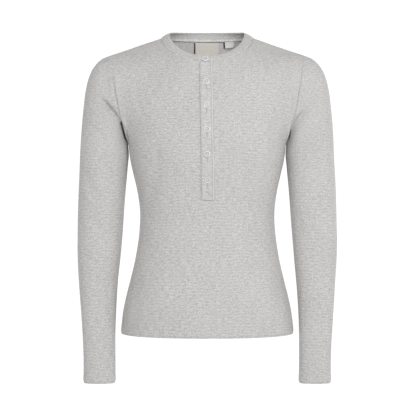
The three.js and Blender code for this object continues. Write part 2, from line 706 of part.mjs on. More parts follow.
function hangingLabel({ x, top, width, height, tilt }, lift) {
  const turn = THREE.MathUtils.degToRad(tilt);
  const patch = steps(3, height, 0).map((down) =>
    steps(4, width / 2, -width / 2).map((out) =>
      backAt(x + out * Math.cos(turn) + down * Math.sin(turn),
        top - down * Math.cos(turn) + out * Math.sin(turn)),
    ),
  );
  return wallOf([patch], () => LABEL_WALL, new Map(), lift);
}

addPiece("label_main", hangingLabel(MAIN_LABEL, -CLOTH - LABEL_GAP), "mainLabel");
addPiece("label_size", hangingLabel(SIZE_LABEL, -CLOTH - LABEL_GAP), "sizeLabel");

export default shirt;
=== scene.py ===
import bmesh
import bpy
import numpy as np
from mathutils import Matrix, Vector


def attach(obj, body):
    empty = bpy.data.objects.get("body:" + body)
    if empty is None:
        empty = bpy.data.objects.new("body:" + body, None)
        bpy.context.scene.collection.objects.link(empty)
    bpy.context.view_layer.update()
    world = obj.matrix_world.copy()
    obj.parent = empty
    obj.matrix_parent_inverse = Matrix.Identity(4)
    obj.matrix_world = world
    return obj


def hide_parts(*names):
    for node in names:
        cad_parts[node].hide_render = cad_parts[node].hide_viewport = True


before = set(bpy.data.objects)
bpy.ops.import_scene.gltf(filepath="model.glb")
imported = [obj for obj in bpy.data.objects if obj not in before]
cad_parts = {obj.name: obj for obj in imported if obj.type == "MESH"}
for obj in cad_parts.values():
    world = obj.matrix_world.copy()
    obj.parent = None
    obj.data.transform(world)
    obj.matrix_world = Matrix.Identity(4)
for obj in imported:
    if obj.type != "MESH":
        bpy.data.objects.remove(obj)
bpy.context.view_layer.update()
MM = 0.001

CLOTH = 1.1  # wall of the single jersey, a little thinner than in the solids

# Sizes shared with the solids, from here to the folds.
BAND_WALL = 2.2  # wall of the folded neckband, and of the turned-up hem and cuffs
PLACKET_WALL = 1.9  # wall of the folded placket strips
HEM_DEPTH = 18
LAYER_GAP = 0.45  # room between a piece and the panel that it lies on
HEM_Z = -590
UNDERARM_Z = -212
CUFF_AT = 673  # how far the cuff is from the armhole along the sleeve
SIDE_SEAM_Y = 4
TORSO_SQUARENESS = 2.3  # exponent of the torso's sections, where 2 is an ellipse
SLEEVE_SQUARENESS = 2.15  # exponent of the sleeves' sections


def table(columns, rows):
    """A short table as one array for each named column."""
    return {name: np.array(values, float) for name, values in zip(columns.split(), zip(*rows))}


# Horizontal sections of the torso, with the reach to the side, front and back.
TORSO = table("at side front back", [
    (HEM_Z, 172.8, 112, 117),
    (-549, 168.4, 110, 117),
    (-517, 161.6, 106, 114),
    (-485, 153.4, 101, 107),
    (-453, 145.6, 97, 99),
    (-421, 139.8, 93, 92),
    (-389, 135.8, 91, 86),
    (-349, 134.2, 92, 84),
    (-309, 139.2, 98, 88),
    (-277, 146.5, 104, 93),
    (-245, 153.4, 109, 98),
    (UNDERARM_Z, 157.6, 111, 102),
    (-180, 160, 110, 104),
])

# Rings of a sleeve from the armhole to the cuff.
SLEEVE = table("at outer_x outer_z inner_x inner_z y front back bow", [
    (0, 191, -35, 158, UNDERARM_Z, 4, 46, 50, 4),
    (24, 213, -45, 158.9, -215, 4, 49, 52, 3),
    (53, 231.5, -68, 158.6, -220, 4, 50, 52, 1),
    (90, 242.5, -103, 157.8, -227, 4, 49, 51, 0),
    (137, 248.5, -150, 157.6, -238, 3, 47, 50, 0),
    (187, 252, -200, 159, -254, 2, 45, 48, 0),
    (247, 255, -260, 161.5, -286, 1, 43.5, 46, 0),
    (307, 257.5, -320, 164.8, -327, 0, 42, 44, 0),
    (376, 258.7, -389, 169.2, -389, -3, 39, 42, 0),
    (427, 257.8, -440, 173.4, -440, -7, 37, 40, 0),
    (487, 254, -500, 178.6, -500, -13, 33, 36, 0),
    (557, 248.4, -570, 181.6, -570, -20, 28, 30, 0),
    (622, 244.6, -635, 181.8, -635, -26, 23, 24, 0),
    (CUFF_AT, 244, -686, 181, -686, -29, 19, 20, 0),
])

# The neck seam and the band's rim: reach to the side, middle, reach to the front and back,
# height, and how far the front drops and the back rises.
NECK_SEAM = dict(side=92, y=2, front=84, back=62, z=4.3, drop=63, rise=-2)
NECK_RIM = dict(side=74.4, y=0, front=72, back=58, z=11.8, drop=57.5, rise=6.5)
NECK_SOFTNESS = 0.03  # rounds the change from the front's drop to the level back
CORNER_FADE = 0.17  # share of the half width over which a corner is evened out
FADE_WEIGHTS = (0.12, 0.22, 0.32, 0.22, 0.12)
NECK_SHARE = 0.36  # share of a panel's half width that ends at the neck
SHOULDER_SEAM_TURN = 60  # degrees round the neck where the shoulder seam starts
SHOULDER_SEAM_ON_ARMHOLE = 14  # degrees round the armhole where it ends
SHOULDER_SEAM_SAG = 7
EDGE_SLACK = 0.12  # extra length of the columns that run beside an armhole
EDGE_EASE = 4  # power by which columns near an armhole follow it
NECK_LEAN = np.array([0, 0.37, 0.93])  # the way up the chest at the neck seam
NECK_SIDE_LEAN = np.array([-0.1, 0.66, 0.75])  # the way up at the shoulder seam's neck end
NAPE_LEAN = np.array([0, -0.44, 0.9])  # the way up the back at the neck seam
WINDOW_HALF = 10
WINDOW_FOOT_Z = -320
PLACKET_FOOT_Z = -325
UNDER_FOOT_Z = -322
PLACKET_TOP_X = -2.4  # the placket leans a little, from this at the neck
PLACKET_FOOT_X = 1.4  # to this at its foot
NECK_FRONT_Z = -59
BAND_LAP_TURN = 8.6  # how far each end runs past the middle front, in degrees
BAND_LIFT_TURN = 18  # over how many more degrees the top end is lifted
BAND_BULGE = 1.2
BUTTON_Z = (-99, -144.5, -191, -238, -287)

# The large folds of the solids: lines in the front view, on the front (-1) or the back (1).
FOLDS = table("side x1 z1 x2 z2 width depth", [
    (-1, -210, -126, -163, -172, 11, 4.5),
    (-1, 192, -146, 160, -192, 14, 3),
    (-1, -88, -215, -117, -350, 22, 2.6),
    (-1, 84, -362, 102, -520, 20, 2.4),
    (-1, -244, -262, -220, -326, 16, 2.4),
    (-1, 240, -342, 208, -368, 16, 2.4),
    (1, -204, -124, -162, -174, 12, 4),
    (1, 206, -128, 162, -172, 12, 4),
    (1, -92, -322, 4, -350, 20, 2.6),
    (1, -8, -376, 88, -358, 20, 2.4),
    (1, -246, -334, -196, -352, 16, 2.4),
    (1, 244, -350, 194, -334, 16, 2.4),
])
FOLD_FADE = 30  # folds die out over this much depth from the side seams
FOLD_END = 0.65  # share of its length from its middle where a fold has died out
FOLD_TAPER = 0.4
FOLD_RIDGES = 1.2
FOLD_FALL = 1.6  # how fast a fold dies out to its sides

# Smaller soft creases, each a line that bows to one side, with its unevenness along it.
CREASES = table("side x1 z1 x2 z2 bow width depth uneven", [
    # Front of the body: drag lines from the armpits, the waist and down to the hem.
    (-1, -150, -118, -112, -205, 6, 8, 0.9, 1.0),
    (-1, -158, -212, -96, -262, -8, 9, 0.9, 2.0),
    (-1, 150, -150, 128, -232, -6, 9, 1.0, 3.0),
    (-1, 152, -230, 104, -276, 8, 10, 0.8, 0.5),
    (-1, -132, -300, -74, -330, 6, 9, 0.9, 1.5),
    (-1, -128, -356, -60, -372, -5, 10, 0.8, 2.5),
    (-1, 128, -318, 70, -346, -6, 10, 0.8, 0.2),
    (-1, 26, -430, 34, -560, 5, 12, 0.8, 1.1),
    (-1, -52, -420, -66, -570, -6, 14, 0.9, 2.1),
    (-1, 132, -470, 140, -575, 4, 10, 0.9, 0.8),
    (-1, -128, -468, -142, -572, -4, 11, 0.9, 1.8),
    (-1, -96, -84, -62, -150, 8, 12, 0.5, 0.4),
    (-1, 92, -92, 60, -160, -8, 12, 0.5, 2.4),
    # Back of the body.
    (1, -150, -110, -120, -196, -6, 9, 0.9, 1.2),
    (1, 152, -112, 122, -200, 6, 9, 0.9, 2.2),
    (1, -110, -296, -30, -318, -8, 10, 1.0, 0.6),
    (1, 112, -306, 34, -324, 8, 10, 1.0, 1.6),
    (1, -118, -352, -40, -372, 7, 11, 1.0, 2.6),
    (1, 120, -392, 52, -404, -6, 11, 0.8, 0.9),
    (1, -30, -120, -14, -260, 8, 16, 0.6, 1.9),
    (1, 44, -440, 52, -570, -6, 13, 0.9, 2.9),
    (1, -60, -430, -74, -570, 6, 13, 0.9, 0.1),
    # Sleeves, front.
    (-1, -240, -176, -184, -236, 8, 9, 1.0, 1.3),
    (-1, -250, -360, -196, -398, 6, 9, 1.0, 2.3),
    (-1, -246, -430, -200, -452, -5, 8, 0.7, 0.3),
    (-1, -236, -560, -196, -590, 5, 8, 0.7, 1.7),
    (-1, 236, -186, 180, -250, -8, 9, 0.9, 2.7),
    (-1, 176, -352, 206, -372, 6, 8, 1.0, 0.7),
    (-1, 246, -400, 194, -430, -6, 9, 1.0, 1.4),
    (-1, 240, -470, 198, -492, 5, 8, 0.7, 2.8),
    (-1, 234, -600, 196, -622, -4, 7, 0.6, 0.2),
    # Sleeves, back.
    (1, -240, -190, -180, -240, -8, 9, 1.0, 0.5),
    (1, -244, -372, -190, -366, 5, 9, 1.1, 1.5),
    (1, -240, -410, -196, -428, -5, 8, 0.8, 2.5),
    (1, 242, -200, 180, -246, 8, 9, 1.0, 2.0),
    (1, 242, -386, 192, -376, -5, 9, 1.1, 1.0),
    (1, 238, -424, 198, -440, 5, 8, 0.8, 3.0),
])
CREASE_SWELL = 0.35  # how much a crease's depth varies along it
CLOTH_WAVES = 0.22  # the cloth's slight unevenness between its creases

# Laps in front, where the cloth hangs over itself: a line, how far it bows, the step below it,
# how far the cloth takes to come out again, and the swell of its edge.
LAPS = table("x1 z1 x2 z2 bow step reach swell", [
    (-210, -123, -155, -201, 7, 7.0, 14, 1.2),
    (157, -224, 182, -157, 6, 4.0, 12, 0.6),
])
LAP_EDGE_WIDTH = 3.5

# At the armholes the cloth is fuller than the solids: over the seam above the armpit, and in the
# body beside the armpit.
ARMHOLE_FILL = 4.6  # in the armhole's lower half
CAP_FILL = 2.2  # from the top of the armhole on
FILL_WIDTH = 12
ARMPIT_FULLNESS = 5.0
ARMPIT_REACH = 8  # from the seam to where the body is fullest

SEAM_DROP = 0.22  # how far the cloth turns in at a seam
SEAM_SOFT = 1.2
SEAM_SWELL = 0.14  # the seam allowance behind the cloth beside it
SWELL_AT, SWELL_WIDTH = 4.5, 2.5
HEM_RISE = 0.3  # the doubled cloth stands out by this
HEM_GROOVE = 0.25  # pressed in by the hem's stitches
HEM_CURL = 1.7  # the turned edge rolls in by this
CURL_REACH = 6

PLACKET_HALF = 11.9
PLACKET_STITCH = 10.2  # from the placket's middle line to its edge stitches
PLACKET_BOX = (-309.5, -320.5)  # heights of the stitched box at its foot
FOOT_FOLD_START = -4  # the slanting fold in the box, from here to its lower right corner
PLACKET_PRESS = 0.35  # how far stitches press it in, and the slanting fold FOLD_PRESS times that
FOLD_PRESS = 5
PLACKET_PUFF = 0.3
PLACKET_ROLL = 0.8  # its edge on the wearer's left stands up in a narrow roll
ROLL_AT = 11.3

STITCH = dict(pitch=2.7, length=2.2, thick=0.42, rise=0.06)

# The buttons, with the radius and height of the loops from the dish out and round to the foot.
DISH_RADIUS = 3.6
BUTTON_RIM = [
    (3.9, 1.3), (4.15, 1.7), (4.4, 2.12), (4.7, 2.38), (5.1, 2.4), (5.45, 2.18), (5.63, 1.8),
    (5.7, 1.35), (5.6, 0.9), (5.2, 0.5), (4.5, 0.15), (3.6, 0.0),
]
BUTTON_FLOOR = 1.2
HOLE_RADIUS = 0.62
HOLE_FROM_MIDDLE = 1.63
HOLE_TURNS = (45, 135, 225, 315)
STRAND_RADIUS = 0.27
STRAND_ASIDE = 0.24
BAND_BUTTON_SEAT = dict(down=4.6, out=0.3, tilt=8)  # the top button hangs low and tips forward
BUTTON_TURN = 17  # each button is turned by this much more than the one above

# A buttonhole, from its button down, with a ridge of close thread at each side of the slit.
BUTTONHOLE = dict(above=0.5, below=15.5, half=1.7, ridge_at=0.85, ridge_half=0.9, ridge=0.45,
                  end=0.4, slit=0.25)

MAIN_LABEL = dict(x=-1.7, top=-1.6, width=51.8, height=34, tilt=0)
SIZE_LABEL = dict(x=44.3, top=0.4, width=21.4, height=12, tilt=4)
LABEL_WALL = 0.45
LABEL_GAP = 1.3

# The place the picture is taken in, in metres.
EYE = (0.0016, -2.3, -0.341)
LENS = 99.5
SENSOR = 36
SWEEP = dict(near=-3.2, floor=-1.0, bend_start=6.2, bend_radius=0.6, length=9.0, half_width=6.5)
MID_CHEST = (0, 0, -0.35)


def vec(x, y, z):
    return np.stack(np.broadcast_arrays(x, y, z), axis=-1).astype(float)


def unit(way):
    return way / np.linalg.norm(way, axis=-1, keepdims=True)


def mix(a, b, share):
    return a + (b - a) * np.asarray(share, float)[..., None]


def ramp(value, low, high):
    """Rises softly from 0 at low to 1 at high."""
    share = np.clip((value - low) / (high - low), 0, 1)
    return share * share * (3 - 2 * share)


def hump(distance, width):
    return np.exp(-((distance / width) ** 2))


def hermite(a, b, slope_a, slope_b, share):
    square, cube = share**2, share**3
    return (
        a * (2 * cube - 3 * square + 1)
        + slope_a * (cube - 2 * square + share)
        + b * (3 * square - 2 * cube)
        + slope_b * (cube - square)
    )


def curve(start, end, start_way, end_way, share):
    return hermite(start, end, start_way, end_way, np.asarray(share, float)[..., None])


def along(rows, at):
    """A table's columns at places between its rows, on smooth curves through them."""
    keys, columns = rows["at"], np.stack([rows[name] for name in rows])
    last = len(keys) - 1
    place = np.clip(at, keys[0], keys[last])
    row = np.clip(np.searchsorted(keys, place) - 1, 0, last - 1)
    before = np.maximum(np.arange(last + 1) - 1, 0)
    after = np.minimum(np.arange(last + 1) + 1, last)
    slope = (columns[:, after] - columns[:, before]) / (keys[after] - keys[before])
    width = keys[row + 1] - keys[row]
    share = (place - keys[row]) / width
    values = hermite(
        columns[:, row], columns[:, row + 1], slope[:, row] * width, slope[:, row + 1] * width, share
    )
    return dict(zip(rows, values))


def squared(value, squareness):
    return np.sign(value) * np.abs(value) ** (2 / squareness)


def torso(z, turn):
    """Turn 0 is the middle front, 90 the wearer's left side."""
    angle = np.radians(turn)
    forward = squared(np.cos(angle), TORSO_SQUARENESS)
    reach = along(TORSO, z)
    ahead = np.where(forward > 0, reach["front"] + SIDE_SEAM_Y, reach["back"] - SIDE_SEAM_Y)
    aside = reach["side"] * squared(np.sin(angle), TORSO_SQUARENESS)
    return vec(aside, SIDE_SEAM_Y - ahead * forward, z)


def sleeve(at, turn):
    """The wearer's left sleeve. Turn 0 is its outer or upper line, 90 its front."""
    angle = np.radians(turn)
    outward = squared(np.cos(angle), SLEEVE_SQUARENESS)
    forward = squared(np.sin(angle), SLEEVE_SQUARENESS)
    value = along(SLEEVE, at)
    reach = np.where(forward > 0, value["front"], value["back"])

    def between(outer, inner):
        return (outer + inner) / 2 + (outer - inner) / 2 * outward

    return vec(
        between(value["outer_x"], value["inner_x"]) + value["bow"] * forward**2,
        value["y"] - reach * forward,
        between(value["outer_z"], value["inner_z"]),
    )


def armhole(turn):
    return sleeve(np.zeros_like(np.asarray(turn, float)), turn)


def neck_ring(ring, turn):
    """Turn 0 is the middle front and 90 the wearer's left."""
    angle = np.radians(turn)
    forward = np.cos(angle)

    def soft(value):
        return (value + np.sqrt(value**2 + NECK_SOFTNESS)) / 2

    return vec(
        ring["side"] * np.sin(angle),
        ring["y"] - np.where(forward > 0, ring["front"], ring["back"]) * forward,
        ring["z"] - ring["drop"] * soft(forward) + ring["rise"] * soft(-forward),
    )


def neck_seam(turn):
    return neck_ring(NECK_SEAM, turn)


def ridge(share):
    return mix(neck_seam(90), armhole(0), share)


def shoulder_seam(share):
    share = np.clip(share, 0, 1)
    point = mix(neck_seam(SHOULDER_SEAM_TURN), armhole(SHOULDER_SEAM_ON_ARMHOLE), share)
    point[..., 2] -= SHOULDER_SEAM_SAG * 4 * share * (1 - share) ** 2
    point[..., 1] -= SHOULDER_SEAM_SAG * 2 * share * (1 - share)
    return point


def front_top(place):
    at_neck = neck_seam(place / NECK_SHARE * SHOULDER_SEAM_TURN)
    at_shoulder = shoulder_seam((place - NECK_SHARE) / (1 - NECK_SHARE))
    return np.where((place < NECK_SHARE)[..., None], at_neck, at_shoulder)


def front_top_way(place):
    seam = SHOULDER_SEAM_ON_ARMHOLE
    armhole_way = unit(armhole(seam - 2) - armhole(seam + 2))
    at_neck = mix(NECK_LEAN, NECK_SIDE_LEAN, np.minimum(place / NECK_SHARE, 1))
    outer = np.clip((place - NECK_SHARE) / (1 - NECK_SHARE), 0, 1)
    at_shoulder = mix(NECK_SIDE_LEAN, armhole_way, outer)
    return unit(np.where((place < NECK_SHARE)[..., None], at_neck, at_shoulder))


def back_top(place):
    at_neck = neck_seam(180 - place / NECK_SHARE * 90)
    at_shoulder = ridge(np.clip((place - NECK_SHARE) / (1 - NECK_SHARE), 0, 1))
    return np.where((place < NECK_SHARE)[..., None], at_neck, at_shoulder)


def back_top_way(place):
    share = np.minimum(1, place / NECK_SHARE) ** 2
    return unit(mix(NAPE_LEAN, np.array([0, -1.0, 0]), share))


def upper_panel(across, share, facing, top, top_way, armhole_turn):
    """The part of a panel above the underarm level. Facing is 1 in the front, -1 in the back."""

    def column(place):
        out = np.abs(place)
        turn = out * 90 if facing > 0 else 180 - out * 90
        foot, end = torso(UNDERARM_Z, turn), top(out)
        length = np.linalg.norm(end - foot, axis=-1) * (1 + EDGE_SLACK * out**EDGE_EASE)
        up = unit(torso(UNDERARM_Z + 1, turn) - torso(UNDERARM_Z - 1, turn))
        outer = np.maximum(0, (out - 0.5) / 0.5) ** 2
        start_way = unit(mix(up, np.array([0.0, -facing, 0]), outer)) * length[..., None]
        point = curve(foot, end, start_way, top_way(out) * length[..., None], share)
        return point * vec(np.where(place < 0, -1, 1), 1, 1)

    spread = np.minimum(CORNER_FADE * np.sqrt(np.maximum(0, 4 * share * (1 - share))), 1 - across)
    blurred = 0
    for k, weight in enumerate(FADE_WEIGHTS):
        blurred = blurred + weight * column(across + spread * (k / 2 - 1))
    edge = column(np.ones_like(across))
    return blurred + (armhole(armhole_turn(share)) - edge) * (across**EDGE_EASE)[..., None]


def panel(across, up, facing):
    """A point of the front or back: up is 0 at the hem, 1 at the underarm and 2 at the top."""
    across, up = np.broadcast_arrays(np.asarray(across, float), np.asarray(up, float))
    seam = SHOULDER_SEAM_ON_ARMHOLE
    turn = across * 90 if facing > 0 else 180 - across * 90
    low = torso(HEM_Z + (UNDERARM_Z - HEM_Z) * np.clip(up, 0, 1), turn)
    share = np.clip(up - 1, 0, 1)
    if facing > 0:
        high = upper_panel(
            np.abs(across), share, 1, front_top, front_top_way, lambda s: 180 - (180 - seam) * s
        )
    else:
        high = upper_panel(
            np.abs(across), share, -1, back_top, back_top_way, lambda s: 180 + 180 * s
        )
    high = high * vec(np.where(across < 0, -1, 1), 1, 1)
    return np.where(up[..., None] <= 1, low, high)


def front(across, up):
    return panel(across, up, 1)


def back(across, up):
    return panel(across, up, -1)


def shoulder_flap(out, down):
    """The back's part over the shoulder, from its ridge (down 0) to the seam (down 1)."""

    def column(place):
        start, end = ridge(place), shoulder_seam(place)
        length = np.linalg.norm(end - start, axis=-1)[..., None]
        end_way = front_top_way(NECK_SHARE + place * (1 - NECK_SHARE)) * -length
        return curve(start, end, np.array([0, -1.0, 0]) * length, end_way, down)

    neck_pull = neck_seam(90 - (90 - SHOULDER_SEAM_TURN) * down) - column(np.zeros_like(out))
    arm_pull = armhole(SHOULDER_SEAM_ON_ARMHOLE * down) - column(np.ones_like(out))
    eased_in, eased_out = ((1 - out) ** EDGE_EASE)[..., None], (out**EDGE_EASE)[..., None]
    return column(out) + neck_pull * eased_in + arm_pull * eased_out


def back_and_flaps(across, up):
    """The back, which runs on over the shoulders as up goes from 2 to 3."""
    over = np.clip(up - 2, 0, 1)
    out = np.clip((np.abs(across) - NECK_SHARE) / (1 - NECK_SHARE), 0, 1)
    flap = shoulder_flap(out, over) * vec(np.where(across < 0, -1, 1), 1, 1)
    low = back(across, np.minimum(up, 2)) + NAPE_LEAN * 0.3 * over[..., None]
    on_shoulder = (up > 2) & (np.abs(across) > NECK_SHARE - 1e-6)
    return np.where(on_shoulder[..., None], flap, low)


def solve(value, target, low, high):
    """Finds where rising functions reach their targets."""
    target = np.asarray(target, float)
    low, high = np.full_like(target, low), np.full_like(target, high)
    for _ in range(22):
        middle = (low + high) / 2
        under = value(middle) < target
        low, high = np.where(under, middle, low), np.where(under, high, middle)
    return (low + high) / 2


def placket_middle(z):
    share = (z - NECK_FRONT_Z) / (PLACKET_FOOT_Z - NECK_FRONT_Z)
    return PLACKET_TOP_X + (PLACKET_FOOT_X - PLACKET_TOP_X) * share


def beside_placket(up, offset):
    target = placket_middle(front(0, up)[..., 2]) + offset
    return solve(lambda across: front(across, up)[..., 0], target, -0.3, 0.3)


def up_at_height(z):
    return float(solve(lambda up: front(0, up)[..., 2], z, 0, 2))


def band_point(turn, up, lift=0):
    """The neckband, up from 0 at the neck seam to 1 at its rim."""
    foot, rim = neck_seam(turn), neck_ring(NECK_RIM, turn)
    out = unit(np.cross(neck_seam(turn + 1) - neck_seam(turn - 1), rim - foot))
    away = BAND_BULGE * 4 * up * (1 - up) + lift
    return mix(foot, rim, up) + out * np.asarray(away, float)[..., None]


def band_lift(turn):
    start = 360 - BAND_LAP_TURN - BAND_LIFT_TURN
    return ramp(turn, start, 360 - BAND_LAP_TURN) * (BAND_WALL + LAYER_GAP)


def folded(points):
    """The points with the solids' large folds pressed into them."""
    side = np.sign(points[..., 1] - SIDE_SEAM_Y)
    fade = ramp(np.abs(points[..., 1] - SIDE_SEAM_Y), 0, FOLD_FADE)
    depth = 0
    for facing, x1, z1, x2, z2, width, deep in zip(*FOLDS.values()):
        share, aside, _ = beside_line(points, x1, z1, x2, z2)
        depth = depth + (side == facing) * groove(share, aside / width, deep)
    return points + vec(0, -side * fade * depth, 0)


def beside_line(points, x1, z1, x2, z2):
    """The share along a line in the front view, the distance from it, and its length."""
    length = np.hypot(x2 - x1, z2 - z1)
    across, down = (x2 - x1) / length, (z2 - z1) / length
    x, z = points[..., 0] - x1, points[..., 2] - z1
    return (x * across + z * down) / length, x * down - z * across, length


def groove(share, aside, depth):
    taper = ramp(FOLD_END - np.abs(share - 0.5), 0, FOLD_TAPER)
    square = aside**2
    return depth * taper * (1 - FOLD_RIDGES * square) * np.exp(-FOLD_FALL * square)


def crease_depth(points, normals):
    """How deep the small creases are, and the cloth's slight unevenness between them."""
    depth = 0
    for facing, x1, z1, x2, z2, bow, width, deep, uneven in zip(*CREASES.values()):
        share, aside, _ = beside_line(points, x1, z1, x2, z2)
        wander = bow * 4 * share * (1 - share) + 2 * np.sin(7 * share + 5 * uneven)
        seen = ramp(normals[..., 1] * facing, 0.1, 0.7)
        swell = 1 + CREASE_SWELL * np.sin(9 * share + 4 * uneven)
        depth = depth + seen * swell * groove(share, (aside + wander) / width, deep)
    x, y, z = points[..., 0], points[..., 1], points[..., 2]
    waves = np.sin(x / 17 + z / 41 + y / 23) + np.sin(z / 19 - x / 29 + 1.3) * np.sin(y / 31 + x / 47)
    return depth + CLOTH_WAVES * waves


def lapped(points, normals):
    """How far laps press the cloth in (or raise it, below 0)."""
    depth = 0
    for x1, z1, x2, z2, bow, step, reach, swell in zip(*LAPS.values()):
        share, aside, _ = beside_line(points, x1, z1, x2, z2)
        beyond = aside + bow * 4 * share * (1 - share)
        lasts = ramp(share, 0, 0.3) * (1 - ramp(share, 1.0, 1.15)) * ramp(-normals[..., 1], 0, 0.5)
        low = ramp(beyond, -0.9, 1.3) * np.exp(-np.maximum(beyond, 0) / reach)
        edge = swell * hump(beyond + LAP_EDGE_WIDTH, LAP_EDGE_WIDTH)
        depth = depth + lasts * (step * low - edge)
    return depth


def over_armhole(points, room, body):
    """How far the cloth at an armhole lies over its seam rather than dipping into it. Above the
    armpit it is filled, and beside the armpit the body's cloth stays full until it turns in."""
    side = points[..., 1] - SIDE_SEAM_Y
    down = -points[..., 2]
    filled = ARMHOLE_FILL * ramp(down, 45, 100) + CAP_FILL * ramp(down, 20, 60)
    filled = filled * (1 - ramp(down, 150, 190)) * hump(room, FILL_WIDTH)
    beside = room / ARMPIT_REACH
    full = ramp(down, 140, 180) * (1 - ramp(down, 215, 255)) * beside * np.exp(1 - beside)
    amount = filled + (ARMPIT_FULLNESS * full if body else 0)
    return amount * np.sign(side) * ramp(np.abs(side), 5, 30)


def normals_of(points):
    across = np.gradient(points, axis=1)
    up = np.gradient(points, axis=0)
    return unit(np.cross(across, up))


def run_along(points, axis):
    """How far each point is along its row (axis 1) or column (axis 0) of the grid."""
    step = np.linalg.norm(np.diff(points, axis=axis), axis=-1)
    zero = np.zeros_like(np.take(step, [0], axis=axis))
    return np.cumsum(np.concatenate([zero, step], axis=axis), axis=axis)


def spaced(*stops):
    """Places from stop to stop: value, count, value, count, ... value."""
    places = [np.array([stops[0]], float)]
    for start, count, end in zip(stops[:-2:2], stops[1:-1:2], stops[2::2]):
        places.append(np.linspace(start, end, count + 1)[1:])
    return np.concatenate(places)


def dress(points, seams="", hem=None, armhole=None, still=False):
    """Turns a smooth grid of a panel's points into worn cloth. Seams names the grid's sewn edges
    among left, right, low and high, hem the edge that is turned up, and armhole the one or two
    edges on the armholes. Returns the points, the place on the cloth of each point, and its
    distance from the nearest seam."""
    points = folded(points)
    u, v = run_along(points, 1), run_along(points, 0)
    if armhole:
        room = v if armhole == "low" else np.minimum(u, u[:, -1:] - u)
        points = points + vec(0, over_armhole(points, room, armhole != "low"), 0)
    normals = normals_of(points)
    if not still:
        depth = crease_depth(points, normals) + lapped(points, normals)
        points = points - normals * depth[..., None]
    room = {
        "left": u,
        "right": u[:, -1:] - u,
        "low": v,
        "high": v[-1:] - v,
    }
    nearest = np.full(u.shape, 1e3)
    drop = np.zeros_like(u)
    for name in seams.split():
        nearest = np.minimum(nearest, room[name])
        drop = np.maximum(drop, SEAM_DROP * hump(room[name], SEAM_SOFT))
    drop -= SEAM_SWELL * hump(nearest - SWELL_AT, SWELL_WIDTH)
    if hem:
        from_hem = room[hem]
        groove_share = hump(from_hem - HEM_DEPTH, 1.2)
        curl_share = ramp(CURL_REACH - from_hem, 0, CURL_REACH) ** 2
        drop -= HEM_RISE * ramp(HEM_DEPTH - from_hem, -1.5, 1.5)
        drop += HEM_GROOVE * groove_share + HEM_CURL * curl_share
    points = points - normals * drop[..., None]
    middle = u[:, u.shape[1] // 2][:, None]
    height = v - v[-1:] if hem == "high" else v
    return points, np.stack([u - middle, height], axis=-1) * MM, nearest * MM


def new_object(name, mesh, finish):
    mesh.materials.append(finish)
    piece = bpy.data.objects.new(name, mesh)
    bpy.context.scene.collection.objects.link(piece)
    for face in mesh.polygons:
        face.use_smooth = True
    return piece


def lay_cloth(name, points, cloth_uv, seam_room, finish, inner=None, cut=None, weld=False,
              turned=None, wall=CLOTH, rim=0.3, rim_steps=2):
    """Lays a grid of cloth on the points. Cut says which grid squares are left out, weld closes a
    tube, and turned marks where the cloth is doubled. Its wall goes inwards."""
    rows, columns = points.shape[:2]
    cloth = bmesh.new()
    bmesh.ops.create_grid(cloth, x_segments=columns - 1, y_segments=rows - 1, size=1)
    map_layer = cloth.loops.layers.uv.new("UVMap")
    seam_layer = cloth.verts.layers.float.new("seam_room")
    weight_layer = cloth.verts.layers.deform.verify()
    cloth.verts.ensure_lookup_table()
    flat = points.reshape(-1, 3) * MM
    flat_uv = cloth_uv.reshape(-1, 2)
    doubled = np.zeros(rows * columns, bool) if turned is None else turned.reshape(-1)
    for vertex, place, room, double in zip(cloth.verts, flat, seam_room.reshape(-1), doubled):
        vertex.co = place
        vertex[seam_layer] = room
        vertex[weight_layer][0] = 1 if double else CLOTH / BAND_WALL
    for face in cloth.faces:
        for loop in face.loops:
            loop[map_layer].uv = flat_uv[loop.vert.index]
    if cut is not None:
        lost = cut.reshape(-1)
        gone = [face for face in cloth.faces if lost[min(v.index for v in face.verts)]]
        bmesh.ops.delete(cloth, geom=gone, context="FACES")
    if weld:
        bmesh.ops.remove_doubles(cloth, verts=cloth.verts, dist=0.02 * MM)
    mesh = bpy.data.meshes.new(name)
    cloth.to_mesh(mesh)
    cloth.free()
    piece = new_object(name, mesh, finish)
    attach(piece, "root")
    piece.vertex_groups.new(name="doubled")
    thicken = piece.modifiers.new("wall", "SOLIDIFY")
    thicken.thickness = (wall if turned is None else BAND_WALL) * MM
    thicken.offset = -1
    thicken.use_quality_normals = True
    if turned is not None:
        thicken.vertex_group = "doubled"
    if inner is not None:
        mesh.materials.append(inner)
        thicken.material_offset = 1
    soften = piece.modifiers.new("soft_rim", "BEVEL")
    soften.width = rim * MM
    soften.segments = rim_steps
    soften.affect = "EDGES"
    soften.profile = 0.5
    soften.material = -1
    soften.limit_method = "ANGLE"
    soften.angle_limit = np.radians(60)
    return piece


class Link:
    """A node's output in a material, with which sums are written."""

    def __init__(self, finish, socket):
        self.finish = finish
        self.socket = socket

    def math(self, operation, first, second):
        return self.finish.node("Math", dict(operation=operation), {0: first, 1: second})

    def __add__(self, other):
        return self.math("ADD", self, other)

    def __sub__(self, other):
        return self.math("SUBTRACT", self, other)

    def __mul__(self, other):
        return self.math("MULTIPLY", self, other)

    def __rsub__(self, other):
        return self.math("SUBTRACT", other, self)

    __radd__ = __add__
    __rmul__ = __mul__

    def sine(self):
        return self.math("SINE", self, 0)

    def size(self):
        return self.math("ABSOLUTE", self, 0)

    def ramp(self, low, high, start=0, end=1):
        """Goes softly from start where this is low to end where it is high."""
        return self.finish.node(
            "MapRange",
            dict(interpolation_type="SMOOTHSTEP"),
            {0: self, 1: low, 2: high, 3: start, 4: end},
        )


